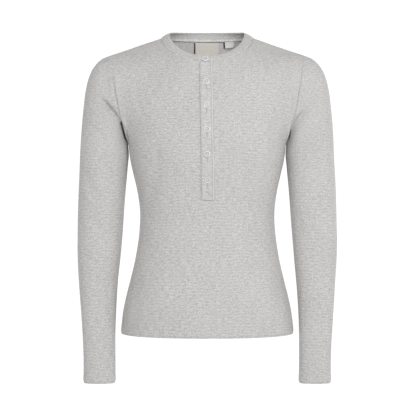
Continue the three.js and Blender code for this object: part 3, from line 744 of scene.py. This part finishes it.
class Finish:
    """A material whose nodes are added by short calls."""

    def __init__(self, name, **constants):
        self.material = bpy.data.materials.new(name)
        self.material.use_nodes = True
        self.nodes = self.material.node_tree.nodes
        self.links = self.material.node_tree.links
        self.shader = self.nodes["Principled BSDF"]
        for socket, value in constants.items():
            self.shader.inputs[socket.replace("_", " ")].default_value = value

    def node(self, kind, settings=None, sockets=None, output=0):
        made = self.nodes.new("ShaderNode" + kind)
        for name, value in (settings or {}).items():
            setattr(made, name, value)
        for key, value in (sockets or {}).items():
            self.feed(made.inputs[key], value)
        return Link(self, made.outputs[output])

    def feed(self, socket, value):
        if isinstance(value, Link):
            self.links.new(value.socket, socket)
        else:
            socket.default_value = value

    def show(self, **sockets):
        for socket, value in sockets.items():
            self.feed(self.shader.inputs[socket.replace("_", " ")], value)
        return self.material

    def cloth_place(self):
        return self.node("UVMap", dict(uv_map="UVMap"))

    def object_place(self):
        return self.node("TexCoord", output="Object")

    def attribute(self, name):
        return self.node("Attribute", dict(attribute_name=name), output="Fac")

    def scaled(self, place, x, y, z=1):
        return self.node("VectorMath", dict(operation="MULTIPLY"), {0: place, 1: (x, y, z)})

    def parts(self, place):
        made = self.node("SeparateXYZ", None, {0: place})
        outputs = made.socket.node.outputs
        return [Link(self, outputs[k]) for k in range(3)]

    def noise(self, place, scale=1, detail=2, roughness=0.5):
        return self.node(
            "TexNoise",
            None,
            {"Vector": place, "Scale": scale, "Detail": detail, "Roughness": roughness},
        )

    def blend(self, factor, first, second, kind="MIX"):
        return self.node(
            "Mix", dict(data_type="RGBA", blend_type=kind), {0: factor, 6: first, 7: second}, 2
        )

    def bump(self, height, distance, strength=1.0, under=None):
        sockets = {"Height": height, "Distance": distance, "Strength": strength}
        if under is not None:
            sockets["Normal"] = under
        return self.node("Bump", None, sockets)


def grey(red, green, blue):
    """A colour given as it shows on a screen, from 0 to 255."""
    share = np.array([red, green, blue]) / 255
    linear = np.where(share <= 0.04045, share / 12.92, ((share + 0.055) / 1.055) ** 2.4)
    return (*linear.tolist(), 1)


WALE_PITCH = 0.95
BAND_PITCH = 6.1  # faint bands across the cloth
# A painted highlight on the over placket's narrow roll.
ROLL_PAINTED_HIGHLIGHT = (244, 243, 241)


def heather(name, light, dark, flecks=1.0, painted_edge_light=False):
    """Jersey knitted from light and dark fibres: soft flecks along the courses, fine fibres, and
    the knit's own ribs and loops. For the over placket it paints shade along its edge on the wearer's
    right, and on its other side a line of painted shade and then a painted highlight over its roll."""
    finish = Finish(
        name, Roughness=0.88, Sheen_Weight=0.18, Sheen_Roughness=0.45, Specular_IOR_Level=0.25
    )
    place = finish.cloth_place()
    u, v, _ = finish.parts(place)
    long_flecks = finish.noise(finish.scaled(place, 90, 450), detail=4, roughness=0.9)
    short_flecks = finish.noise(finish.scaled(place, 330, 900), detail=2, roughness=0.6)
    fibres = finish.noise(finish.scaled(place, 900, 2600), detail=1)
    clouds = finish.noise(finish.scaled(place, 14, 16), detail=1)
    drift = finish.noise(finish.scaled(place, 40, 22), detail=2)
    bands = (v * (2 * np.pi / (BAND_PITCH * MM)) + drift * 9).sine()
    shade = (
        (long_flecks.ramp(0.3, 0.7) - 0.5) * 1.25 * flecks
        + (short_flecks.ramp(0.3, 0.7) - 0.5) * 1.25 * flecks
        + (fibres.ramp(0.3, 0.7) - 0.5) * 0.35 * flecks
        + bands * 0.09 * flecks
        + (clouds - 0.5) * 0.3
        + 0.45
    )
    if painted_edge_light:
        # Painted shade along the over placket's edge on the wearer's right, and a line of painted shade
        # next to the roll on its other side.
        shade = shade + (u * -1).ramp(10.7 * MM, 11.6 * MM) * 0.45 + u.ramp(8.2 * MM, 8.8 * MM) * 0.6
    colour = finish.blend(shade, grey(*light), grey(*dark))
    if painted_edge_light:
        # A painted highlight over the over placket's roll, beyond the line of painted shade.
        roll = u.ramp(9.6 * MM, 10.2 * MM) * 0.6
        colour = finish.blend(roll, colour, grey(*ROLL_PAINTED_HIGHLIGHT))
    tint = finish.noise(finish.scaled(place, 150, 420), detail=2)
    cool = finish.blend(0.16, colour, (0.50, 0.53, 0.62, 1))
    warm = finish.blend(0.16, colour, (0.64, 0.55, 0.48, 1))
    colour = finish.blend(tint.ramp(0.38, 0.62), cool, warm)
    step = 2 * np.pi / (WALE_PITCH * MM)
    loops = (u * step).sine().size()
    courses = (v * (step * 1.15) + (u * step).sine() * 1.6).sine()
    knit = loops * 0.6 + courses * 0.25 + fibres * 0.5
    near = finish.attribute("seam_room").ramp(0.0, 6 * MM, 1, 0)
    pucker = finish.noise(finish.scaled(place, 210, 210), detail=1) * near
    low = finish.bump(pucker, 1.2 * MM, 0.6)
    return finish.show(Base_Color=colour, Normal=finish.bump(knit, 0.16 * MM, 0.7, low))


BAND_COLOURS = (216, 215, 213), (168, 167, 165)
jersey = heather("heather_jersey", (214, 213, 211), (163, 162, 160))
band_jersey = heather("heather_band", *BAND_COLOURS, flecks=0.9)
# The over placket's jersey, with painted shade and a painted highlight along its edges.
placket_jersey_painted_light = heather("heather_placket_painted_light", *BAND_COLOURS, flecks=0.9, painted_edge_light=True)
# The inside of the cloth and of the band: the same heather made lighter than the outside, painted light
# against the shade inside the shirt.
reverse_painted_light = heather("heather_reverse_painted_light", (238, 237, 235), (202, 201, 199), flecks=0.8)
band_reverse_painted_light = heather("heather_band_reverse_painted_light", (240, 239, 237), (194, 193, 191), flecks=0.8)


# The grid rows that are stitched, along the inner edge of the hem and of a cuff.
HEM_STITCH_ROWS = (6, 7)
CUFF_STITCH_ROWS = (244, 245)
WINDOW_SQUARES = 6  # across the placket's window


def make_front():
    window_up = up_at_height(WINDOW_FOOT_Z)
    rows = spaced(0.0, 2, 0.006, 5, HEM_DEPTH / (UNDERARM_Z - HEM_Z), 90, window_up, 28, 1.0, 58,
                  1.985, 4, 2.0)
    edges = beside_placket(rows[:, None], np.array([[-WINDOW_HALF, WINDOW_HALF]]))
    outside = spaced(NECK_SHARE, 40, 0.985, 4, 1.0)[1:]
    outer = np.broadcast_to(outside, (len(rows), len(outside)))
    inward = np.linspace(0, 1, 31)
    right = edges[:, 1:] + (NECK_SHARE - edges[:, 1:]) * inward
    left = edges[:, :1] + (-NECK_SHARE - edges[:, :1]) * inward
    width = edges[:, 1:] - edges[:, :1]
    window = edges[:, :1] + width * np.linspace(0, 1, WINDOW_SQUARES + 1)[1:-1]
    across = np.concatenate([-outer[:, ::-1], left[:, ::-1], window, right, outer], axis=1)
    up = np.broadcast_to(rows[:, None], across.shape)
    points, cloth_uv, room = dress(front(across, up), "left right high", "low", "sides")
    cut = np.zeros(across.shape, bool)
    first = len(outside) + len(inward) - 1  # the column at the window's edge
    squares = slice(first, first + WINDOW_SQUARES)
    cut[:, squares] = up[:, squares] >= window_up - 1e-6
    turned = points[..., 2] < HEM_Z + HEM_DEPTH
    piece = lay_cloth("front_cloth", points, cloth_uv, room, jersey, reverse_painted_light, cut, turned=turned)
    return piece, [grid_row(points, row) for row in HEM_STITCH_ROWS]


def make_back():
    rows = spaced(0.0, 2, 0.006, 5, HEM_DEPTH / (UNDERARM_Z - HEM_Z), 118, 1.0, 64, 2.0, 6, 2.96,
                  3, 3.0)
    places = spaced(-1.0, 4, -0.985, 40, -NECK_SHARE, 70, NECK_SHARE, 40, 0.985, 4, 1.0)[::-1]
    across, up = np.meshgrid(places, rows)
    points, cloth_uv, room = dress(back_and_flaps(across, up), "left right high", "low", "sides")
    middle = (across < NECK_SHARE + 1e-6) & (across > -NECK_SHARE + 1e-6)
    cut = middle & (up >= 2 - 1e-6)
    turned = points[..., 2] < HEM_Z + HEM_DEPTH
    piece = lay_cloth("back_cloth", points, cloth_uv, room, jersey, reverse_painted_light, cut, turned=turned)
    return piece, [grid_row(points, row) for row in HEM_STITCH_ROWS]


def make_sleeve(name, side):
    at = spaced(0.0, 4, 3.0, 90, 150, 60, 330, 90, CUFF_AT - HEM_DEPTH, 6, CUFF_AT - 2, 2, CUFF_AT)
    turns = spaced(-180.0, 3, -178, 120, 178, 3, 180)
    turn, station = np.meshgrid(turns, at)
    points = sleeve(station, turn)
    if side < 0:
        points = points[:, ::-1] * np.array([-1, 1, 1])
    points, cloth_uv, room = dress(points, "left right low", "high", "low")
    turned = station > CUFF_AT - HEM_DEPTH
    piece = lay_cloth(name, points, cloth_uv, room, jersey, reverse_painted_light, weld=True, turned=turned)
    return piece, [grid_row(points, row) for row in CUFF_STITCH_ROWS]


def make_neckband():
    turns = spaced(-BAND_LAP_TURN, 3, 1 - BAND_LAP_TURN, 190, 359 + BAND_LAP_TURN, 3,
                   360 + BAND_LAP_TURN)
    turn, up = np.meshgrid(turns, spaced(-0.09, 3, 0.0, 4, 0.1, 8, 0.9, 3, 1.0))
    tucked = (CLOTH + 0.2) * ramp(-up, -0.05, 0.0)
    points, cloth_uv, room = dress(band_point(turn, up, band_lift(turn) - tucked), "low", still=True)
    return lay_cloth("neckband_cloth", points, cloth_uv, room, band_jersey, band_reverse_painted_light,
                     wall=BAND_WALL, rim=0.9, rim_steps=3)


def placket_rows(foot_z):
    foot = up_at_height(foot_z)
    return foot + spaced(0, 1, 0.002, 1, 0.005, 34, 0.07, 110, 2 - foot)


def placket_points(rows, offsets, lift):
    """Points of a strip on the front's own form, with the front's creases, lifted off it."""
    up = np.asarray(rows, float)[:, None]
    across = beside_placket(up, np.asarray(offsets, float)[None, :])
    points = folded(front(across, np.broadcast_to(up, across.shape)))
    normals = normals_of(points)
    return points - normals * crease_depth(points, normals)[..., None] + normals * lift, normals


# Columns of a strip's grid, close to each other at its edges and stitches.
PLACKET_EDGE = np.array([0, 0.4, 0.9, 1.3, 1.6, 1.9, 2.4, 3.1, 3.9])
PLACKET_OFFSETS = np.concatenate([
    PLACKET_EDGE - PLACKET_HALF, np.linspace(-7.2, 7.2, 19), (PLACKET_HALF - PLACKET_EDGE)[::-1],
])
PLACKET_FORM = np.concatenate(placket_points(placket_rows(PLACKET_FOOT_Z), PLACKET_OFFSETS, 0), axis=-1)


def on_placket(offset, z, lift):
    """A point over the front's form beside the placket's middle line, and the way out of it."""
    offset, z = np.broadcast_arrays(np.asarray(offset, float), np.asarray(z, float))
    rows, columns = PLACKET_FORM.shape[:2]
    row = np.interp(z, PLACKET_FORM[:, columns // 2, 2], np.arange(rows))
    column = np.interp(offset, PLACKET_OFFSETS, np.arange(columns))
    r, c = np.minimum(row.astype(int), rows - 2), np.minimum(column.astype(int), columns - 2)
    low = mix(PLACKET_FORM[r, c], PLACKET_FORM[r, c + 1], column - c)
    high = mix(PLACKET_FORM[r + 1, c], PLACKET_FORM[r + 1, c + 1], column - c)
    value = mix(low, high, row - r)
    return value[..., :3] + value[..., 3:] * lift, value[..., 3:]


def make_placket(name, foot_z, lift, finish):
    offsets = PLACKET_OFFSETS
    points, normals = placket_points(placket_rows(foot_z), offsets, lift)
    z, beside = points[..., 2], np.abs(offsets)[None, :]
    sewn = hump(beside - PLACKET_STITCH, 0.5)
    for height in PLACKET_BOX:
        sewn = np.maximum(sewn, hump(z - height, 0.7))
    top, low = PLACKET_BOX
    share = (top - z) / (top - low)
    fold = FOOT_FOLD_START + (PLACKET_STITCH - FOOT_FOLD_START) * share
    slant = hump(offsets[None, :] - fold, 1.1)
    sewn = np.maximum(sewn, FOLD_PRESS * slant * ((share > 0) & (share < 1)))
    puff = PLACKET_PUFF * ramp(PLACKET_STITCH - beside, 0, 3)
    roll = PLACKET_ROLL * hump(offsets[None, :] - ROLL_AT, 1.1)
    points = points + normals * (puff + roll - PLACKET_PRESS * sewn)[..., None]
    cloth_uv = np.stack([offsets + 0 * z, run_along(points, 0)], axis=-1) * MM
    room = np.abs(PLACKET_STITCH - beside + 0 * z) * MM
    return lay_cloth(name, points, cloth_uv, room, finish, wall=PLACKET_WALL, rim=0.6, rim_steps=3)


def stitch_row(path, normals):
    """Where each stitch of a row goes: its middle, its way along, aside and up."""
    step = np.linalg.norm(np.diff(path, axis=0), axis=1)
    run = np.concatenate([[0], np.cumsum(step)])
    count = max(2, round(run[-1] / STITCH["pitch"]))
    places = (np.arange(count) + 0.5) * run[-1] / count

    def at(values, place):
        return np.stack([np.interp(place, run, values[:, k]) for k in range(3)], axis=-1)

    middles, ways = at(path, places), at(path, places + 0.8) - at(path, places - 0.8)
    ups = unit(at(normals, places))
    ways = unit(ways - ups * (ways * ups).sum(-1, keepdims=True))
    return np.stack([middles + ups * STITCH["rise"], ways, np.cross(ups, ways), ups], axis=1)


def sew(name, rows):
    """Rows of stitches, each a path on the cloth and the ways out of it."""
    places = np.concatenate([stitch_row(path, normals) for path, normals in rows])
    stitches = bmesh.new()
    made = bmesh.ops.create_icosphere(stitches, subdivisions=1, radius=1)["verts"]
    shape = np.array([vertex.co for vertex in made])
    geometry = [*made, *{face for vertex in made for face in vertex.link_faces}]
    while len(stitches.verts) < len(places) * len(shape):
        geometry += bmesh.ops.duplicate(stitches, geom=geometry)["geom"]
    stitches.verts.ensure_lookup_table()
    sizes = np.array([STITCH["length"], STITCH["thick"], STITCH["thick"]]) / 2
    points = places[:, :1] + (shape * sizes) @ places[:, 1:]
    points = points.reshape(-1, 3) * MM
    for vertex, point in zip(stitches.verts, points):
        vertex.co = point
    bmesh.ops.delete(stitches, geom=stitches.verts[len(points):], context="VERTS")
    return finish_mesh(name, stitches, thread)


def finish_mesh(name, shape, finish, sharp=None):
    mesh = bpy.data.meshes.new(name)
    shape.to_mesh(mesh)
    shape.free()
    piece = new_object(name, mesh, finish)
    if sharp is not None:
        mesh.set_sharp_from_angle(angle=np.radians(sharp))
    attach(piece, "root")
    return piece


def grid_row(points, index):
    return points[index], normals_of(points)[index]


def sew_placket():
    top, low = PLACKET_BOX
    side = PLACKET_STITCH
    lines = [
        ((-side, NECK_FRONT_Z), (-side, low)),
        ((side, NECK_FRONT_Z), (side, low)),
        ((-side, top), (side, top)),
        ((-side, low), (side, low)),
        ((FOOT_FOLD_START, top), (side, low)),
    ]
    share = np.linspace(0, 1, 90)
    lift = LAYER_GAP + PLACKET_WALL
    return sew("placket_stitches", [
        on_placket(x1 + (x2 - x1) * share, z1 + (z2 - z1) * share, lift)
        for (x1, z1), (x2, z2) in lines
    ])


def make_buttonhole(name, z):
    """A slit edged with close thread, from behind the button down."""
    size, steps = BUTTONHOLE, 40
    offsets = np.array([-1.7, -1.5, -1.2, -0.8, -0.4, -0.2, 0, 0.2, 0.4, 0.8, 1.2, 1.5, 1.7])
    heights = np.linspace(z - size["below"], z + size["above"], steps)[:, None]
    points, normals = on_placket(offsets[None, :], heights, LAYER_GAP + PLACKET_WALL + 0.1)
    step = np.arange(steps)
    to_end = np.minimum(step, step[::-1])[:, None] * 0.4
    beside = np.abs(offsets)[None, :]
    slit = ramp(to_end, 1.0, 2.2)
    over_ridge = (beside - size["ridge_at"]) / size["ridge_half"]
    height = size["ridge"] * np.sqrt(np.clip(1 - over_ridge**2, 0, 1)) * slit
    end = ramp(to_end, 0, 0.6) * ramp(size["half"] - beside, 0, 0.6)
    height = height + size["end"] * (1 - slit) * end
    height = height - size["slit"] * slit * hump(beside, 0.22)
    points = points + normals * height[..., None]
    u, v = run_along(points, 1), run_along(points, 0)
    cloth_uv = np.stack([u - size["half"], v], axis=-1) * MM
    return lay_cloth(name, points, cloth_uv, u * 0 + 1, satin_thread, wall=0.35, rim=0.1,
                     rim_steps=1)


def drawn_out(shape, edges, radius_change, height):
    """Extrudes a loop, scales it about the middle and sets its height."""
    made = bmesh.ops.extrude_edge_only(shape, edges=edges)["geom"]
    points = [g for g in made if isinstance(g, bmesh.types.BMVert)]
    for point in points:
        point.co.x *= radius_change
        point.co.y *= radius_change
        point.co.z = height
    return [g for g in made if isinstance(g, bmesh.types.BMEdge) and all(v in points for v in g.verts)]


def button_shape():
    """A dished button with four holes, its foot at height 0."""
    shape = bmesh.new()
    bmesh.ops.create_circle(shape, segments=40, radius=DISH_RADIUS)
    outer = shape.edges[:]
    rings = []
    for turn in HOLE_TURNS:
        place = Matrix.Rotation(np.radians(turn), 4, "Z") @ Matrix.Translation((HOLE_FROM_MIDDLE, 0, 0))
        before = set(shape.edges)
        bmesh.ops.create_circle(shape, segments=12, radius=HOLE_RADIUS, matrix=place)
        rings.append([e for e in shape.edges if e not in before])
    for vertex in shape.verts:
        vertex.co.z = BUTTON_FLOOR
    bmesh.ops.triangle_fill(shape, use_beauty=True, edges=shape.edges[:], normal=(0, 0, 1))
    radius = DISH_RADIUS
    for wider, height in BUTTON_RIM:
        outer = drawn_out(shape, outer, wider / radius, height)
        radius = wider
    feet = list(outer)
    for ring in rings:
        for height in (0.8, 0.0):
            ring = drawn_out(shape, ring, 1, height)
        feet += ring
    bmesh.ops.triangle_fill(shape, use_beauty=True, edges=feet, normal=(0, 0, -1))
    bmesh.ops.recalc_face_normals(shape, faces=shape.faces)
    return shape


def tube(shape, path, radius, around=8):
    """Adds a closed round strand along a path, made from a grid rolled round it."""
    ways = unit(np.gradient(path, axis=0))
    side = unit(np.cross(ways, np.array([0.31, 0.22, 0.93])))
    over = np.cross(ways, side)
    before = len(shape.verts)
    bmesh.ops.create_grid(shape, x_segments=around, y_segments=len(path) - 1, size=1)
    shape.verts.ensure_lookup_table()
    for k, vertex in enumerate(shape.verts[before:]):
        row, column = divmod(k, around + 1)
        turn = 2 * np.pi * column / around
        ring = side[row] * np.cos(turn) + over[row] * np.sin(turn)
        vertex.co = path[row] + ring * radius
    bmesh.ops.remove_doubles(shape, verts=shape.verts[before:], dist=radius * 0.05)


def button_thread():
    """Two crossed pairs of strands over the button's middle and down through its holes."""
    shape = bmesh.new()
    for turn in HOLE_TURNS[:2]:
        way = np.array([np.cos(np.radians(turn)), np.sin(np.radians(turn)), 0])
        side = np.array([-way[1], way[0], 0])
        for offset in (-STRAND_ASIDE, STRAND_ASIDE):
            run = np.array([-1, -1, -0.92, -0.6, -0.25, 0.25, 0.6, 0.92, 1, 1])
            high = np.array([-1.7, 0, 0.3, 0.42, 0.5, 0.5, 0.42, 0.3, 0, -1.7]) + BUTTON_FLOOR
            high = high + (0.2 if turn == HOLE_TURNS[0] else 0)
            path = way * (run * HOLE_FROM_MIDDLE)[:, None] + side * offset
            path[:, 2] = high
            tube(shape, path, STRAND_RADIUS)
    bmesh.ops.holes_fill(shape, edges=shape.edges)
    return shape


def seat_of(node):
    """Where a packed button stands: the middle of its foot, and the way it faces."""
    points = np.array([v.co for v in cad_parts[node].data.vertices])
    middle = points.mean(0)
    way = np.linalg.svd(points - middle)[2][-1]
    way = way * -np.sign(way[1])
    foot = middle + way * ((points - middle) @ way).min()
    facing = Vector(way).to_track_quat("Z", "Y").to_matrix().to_4x4()
    return Matrix.Translation(Vector(foot)) @ facing @ Matrix.Scale(MM, 4)


def make_button(number):
    """A button and its thread. Its rim has a painted highlight and its dish painted shade, two copies
    of one resin.
    """
    node = f"button_{number}"
    seat = seat_of(node)
    if number == 1:
        hung = BAND_BUTTON_SEAT
        tip = Matrix.Rotation(np.radians(hung["tilt"]), 4, "X")
        seat = seat @ Matrix.Translation((0, -hung["down"], hung["out"])) @ tip
    seat = seat @ Matrix.Rotation(np.radians(BUTTON_TURN * number), 4, "Z")
    shape, strands = button_shape(), button_thread()
    for face in shape.faces:
        # Faces in the dish take the copy of the resin with painted shade, the rest the copy with a
        # painted highlight.
        middle = face.calc_center_median()
        face.material_index = int(middle.z > 0.9 and middle.xy.length < 4.3)
    bmesh.ops.transform(shape, matrix=seat, verts=shape.verts)
    bmesh.ops.transform(strands, matrix=seat, verts=strands.verts)
    button = finish_mesh(f"button_{number}_resin", shape, resin_painted_highlight, sharp=38)
    button.data.materials.append(resin_painted_shade)
    sewing = finish_mesh(f"button_{number}_thread", strands, button_cotton)
    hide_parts(node)
    return button, sewing


def back_at(x, z):
    """Points of the back at places given by x and height, found step by step."""
    across, up, reach = x / 260, np.full_like(x, 1.9), 1e-3
    for _ in range(6):
        here = back(across, up)
        aside = (back(across + reach, up) - here) / reach
        below = (back(across, up - reach) - here) / -reach
        miss_x, miss_z = x - here[..., 0], z - here[..., 2]
        share = aside[..., 0] * below[..., 2] - aside[..., 2] * below[..., 0]
        across = across + (miss_x * below[..., 2] - miss_z * below[..., 0]) / share
        up = np.minimum(2, up + (miss_z * aside[..., 0] - miss_x * aside[..., 2]) / share)
    return back(across, up)


def make_label(name, x, top, width, height, tilt, finish):
    """A woven label that hangs from the neck seam inside the back, a little away from it."""
    turn = np.radians(tilt)
    out, down = np.meshgrid(np.linspace(width / 2, -width / 2, 30), np.linspace(height, 0, 20))
    points = back_at(x + out * np.cos(turn) + down * np.sin(turn),
                     top - down * np.cos(turn) + out * np.sin(turn))
    normals = normals_of(points)
    curl = 0.8 * (down / height) ** 2 + 0.25 * np.sin(out / width * 5 + 1) * down / height
    points = points - normals * (CLOTH + LABEL_GAP + curl)[..., None]
    cloth_uv = np.stack([out, down], axis=-1) * MM
    return lay_cloth(name, points, cloth_uv, out * 0 + 1, finish, wall=LABEL_WALL, rim=0.15)


def thread_finish(name, colour):
    """Twisted thread, fine and uneven."""
    finish = Finish(name, Roughness=0.55, Sheen_Weight=0.15)
    grain = (2600, 2600, 2600)
    strands = finish.noise(finish.scaled(finish.object_place(), *grain), detail=2)
    shade = finish.blend(strands.ramp(0.3, 0.7), grey(*colour), grey(*[c - 26 for c in colour]))
    return finish.show(Base_Color=shade, Normal=finish.bump(strands, 0.1 * MM, 0.8))


def satin_finish(name, colour):
    """The close zigzag of a buttonhole, in rows across its length."""
    finish = Finish(name, Roughness=0.5, Sheen_Weight=0.2)
    u, v, _ = finish.parts(finish.cloth_place())
    rows = (v * (2 * np.pi / (0.45 * MM)) + u * 900).sine()
    # Painted shade down the middle of the slit, darker than the thread beside it.
    inner = u.size().ramp(0.15 * MM, 0.35 * MM)
    shade = finish.blend(rows.ramp(-1, 1), grey(*[c - 22 for c in colour]), grey(*colour))
    colour = finish.blend(inner, grey(160, 159, 157), shade)
    return finish.show(Base_Color=colour, Normal=finish.bump(rows, 0.12 * MM, 0.8))


def resin_finish(name, light, dark):
    """Polished button resin with faint clouds in it."""
    finish = Finish(name, Roughness=0.28, Coat_Weight=0.3, Coat_Roughness=0.15)
    place = finish.object_place()
    clouds = finish.noise(finish.scaled(place, 260, 260, 420), detail=3, roughness=0.6)
    shade = finish.blend(clouds.ramp(0.35, 0.65), grey(*light), grey(*dark))
    return finish.show(Base_Color=shade, Roughness=clouds.ramp(0.3, 0.7, 0.22, 0.36))


def label_finish(name, colour, half_width, shadow_strip):
    """Smooth woven tape with a dark strip of painted shadow down one side."""
    finish = Finish(name, Roughness=0.6, Sheen_Weight=0.2)
    place = finish.cloth_place()
    u, v, _ = finish.parts(place)
    warp = (u * (2 * np.pi / (0.42 * MM))).sine()
    weft = (v * (2 * np.pi / (0.3 * MM))).sine()
    weave = warp * weft
    uneven = finish.noise(finish.scaled(place, 300, 1400), detail=2)
    shade = finish.blend(uneven.ramp(0.3, 0.7), grey(*colour), grey(*[c - 8 for c in colour]))
    # Painted shadow: a dark strip down one side of the tape, where the label stands off the cloth; the
    # last argument gives its width.
    edge = (u * -1).ramp((half_width - shadow_strip - 0.15) * MM, (half_width - shadow_strip + 0.15) * MM)
    shade = finish.blend(edge, shade, grey(62, 61, 66))
    return finish.show(Base_Color=shade, Normal=finish.bump(weave, 0.05 * MM, 0.6))


thread = thread_finish("sewing_thread", (206, 205, 203))
button_cotton = thread_finish("button_thread", (243, 242, 241))
satin_thread = satin_finish("buttonhole_thread", (204, 203, 201))
# One resin in two copies: a painted highlight for the rim and painted shade for the dish.
resin_painted_highlight = resin_finish("button_resin_painted_highlight", (246, 246, 247), (236, 236, 238))
resin_painted_shade = resin_finish("button_resin_painted_shade", (190, 190, 192), (176, 176, 179))
# The tapes' own off-white, made lighter still as painted light against the shade inside the neck.
main_tape = label_finish("main_label_tape", (235, 231, 222), MAIN_LABEL["width"] / 2, 2.9)
size_tape = label_finish("size_label_tape", (251, 250, 245), SIZE_LABEL["width"] / 2, 3.2)

front_cloth, front_hem = make_front()
back_cloth, back_hem = make_back()
left_cloth, left_cuff = make_sleeve("sleeve_left_cloth", 1)
right_cloth, right_cuff = make_sleeve("sleeve_right_cloth", -1)
neckband = make_neckband()
over = make_placket("placket_over_cloth", PLACKET_FOOT_Z, LAYER_GAP + PLACKET_WALL, placket_jersey_painted_light)
under = make_placket("placket_under_cloth", UNDER_FOOT_Z, -CLOTH - 2 * LAYER_GAP, band_jersey)
hem_stitches = sew("hem_stitches", front_hem + back_hem)
left_stitches = sew("cuff_stitches_left", left_cuff)
right_stitches = sew("cuff_stitches_right", right_cuff)
placket_stitches = sew_placket()
buttonholes = [make_buttonhole(f"buttonhole_{k + 2}", z) for k, z in enumerate(BUTTON_Z)]
buttons = [make_button(number) for number in range(1, 7)]
label_main = make_label("label_main_tape", finish=main_tape, **MAIN_LABEL)
label_size = make_label("label_size_tape", finish=size_tape, **SIZE_LABEL)
for piece, node in (
    (front_cloth, "front_body"),
    (back_cloth, "back_body"),
    (left_cloth, "sleeve_left"),
    (right_cloth, "sleeve_right"),
    (neckband, "neckband"),
    (over, "placket_over"),
    (under, "placket_under"),
    (label_main, "label_main"),
    (label_size, "label_size"),
):
    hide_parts(node)


def make_camera():
    """Level with the middle of the shirt, and as far in front of it as the photo's was."""
    lens = bpy.data.cameras.new("camera")
    lens.lens = LENS
    lens.sensor_width = SENSOR
    camera = bpy.data.objects.new("camera", lens)
    camera.location = EYE
    camera.rotation_euler = (np.pi / 2, 0, 0)
    bpy.context.scene.collection.objects.link(camera)
    bpy.context.scene.camera = camera


def make_stage():
    """A pale floor that curves up into a backdrop. Behind the shirt it glows just white, so that
    the outline stays clean, and a brighter band to each side lights the shirt's edges."""
    near, ground = SWEEP["near"], SWEEP["floor"]
    start, radius = SWEEP["bend_start"], SWEEP["bend_radius"]
    sweep = bmesh.new()
    bmesh.ops.create_grid(sweep, x_segments=16, y_segments=60, size=1)
    for vertex in sweep.verts:
        run = (vertex.co.y + 1) * SWEEP["length"] / 2  # metres from the sweep's near edge
        y, z = run + near, ground
        if run > start:
            bend = min((run - start) / radius, np.pi / 2)
            rise = max(0, run - start - radius * np.pi / 2)
            y = start + near + radius * np.sin(bend)
            z = ground + radius * (1 - np.cos(bend)) + rise
        vertex.co = (vertex.co.x * SWEEP["half_width"], y, z)
    mesh = bpy.data.meshes.new("sweep")
    sweep.to_mesh(mesh)
    sweep.free()
    finish = Finish("pale_sweep", Roughness=0.9, Emission_Strength=2.7)
    aside, depth, _ = finish.parts(finish.object_place())
    beside = aside.size().ramp(1.25, 1.6) * aside.size().ramp(3.0, 3.3, 1, 0)
    white = finish.blend(beside, (0.38, 0.38, 0.38, 1), (1, 1, 1, 1))
    glow = finish.blend(depth.ramp(0.5, 1.3), (0, 0, 0, 1), white)
    matt = finish.blend(depth.ramp(0.5, 1.3), (0.8, 0.8, 0.8, 1), (0.02, 0.02, 0.02, 1))
    floor = new_object("sweep", mesh, finish.show(Base_Color=matt, Emission_Color=glow))


def make_world(strength):
    world = bpy.data.worlds.new("studio")
    world.use_nodes = True
    background = world.node_tree.nodes["Background"]
    background.inputs["Color"].default_value = (1, 1, 1, 1)
    background.inputs["Strength"].default_value = strength
    bpy.context.scene.world = world


def make_light(name, place, aim, size, power):
    lamp = bpy.data.lights.new(name, "AREA")
    lamp.shape = "DISK"
    lamp.size = size
    lamp.energy = power
    light = bpy.data.objects.new(name, lamp)
    light.location = place
    way = Vector(aim) - Vector(place)
    light.rotation_mode = "QUATERNION"
    light.rotation_quaternion = way.to_track_quat("-Z", "Y")
    bpy.context.scene.collection.objects.link(light)


make_camera()
make_stage()
make_world(0.44)
make_light("key", (1.3, -2.6, 0.9), MID_CHEST, 0.5, 19)
make_light("front", (0.2, -3.0, 0.6), MID_CHEST, 2.2, 36)
make_light("side", (2.4, 0.1, -0.3), MID_CHEST, 1.6, 9)
make_light("fill", (-1.5, -1.9, 0.8), (0, 0, -0.2), 0.8, 6)
bpy.context.scene.view_settings.view_transform = "Standard"
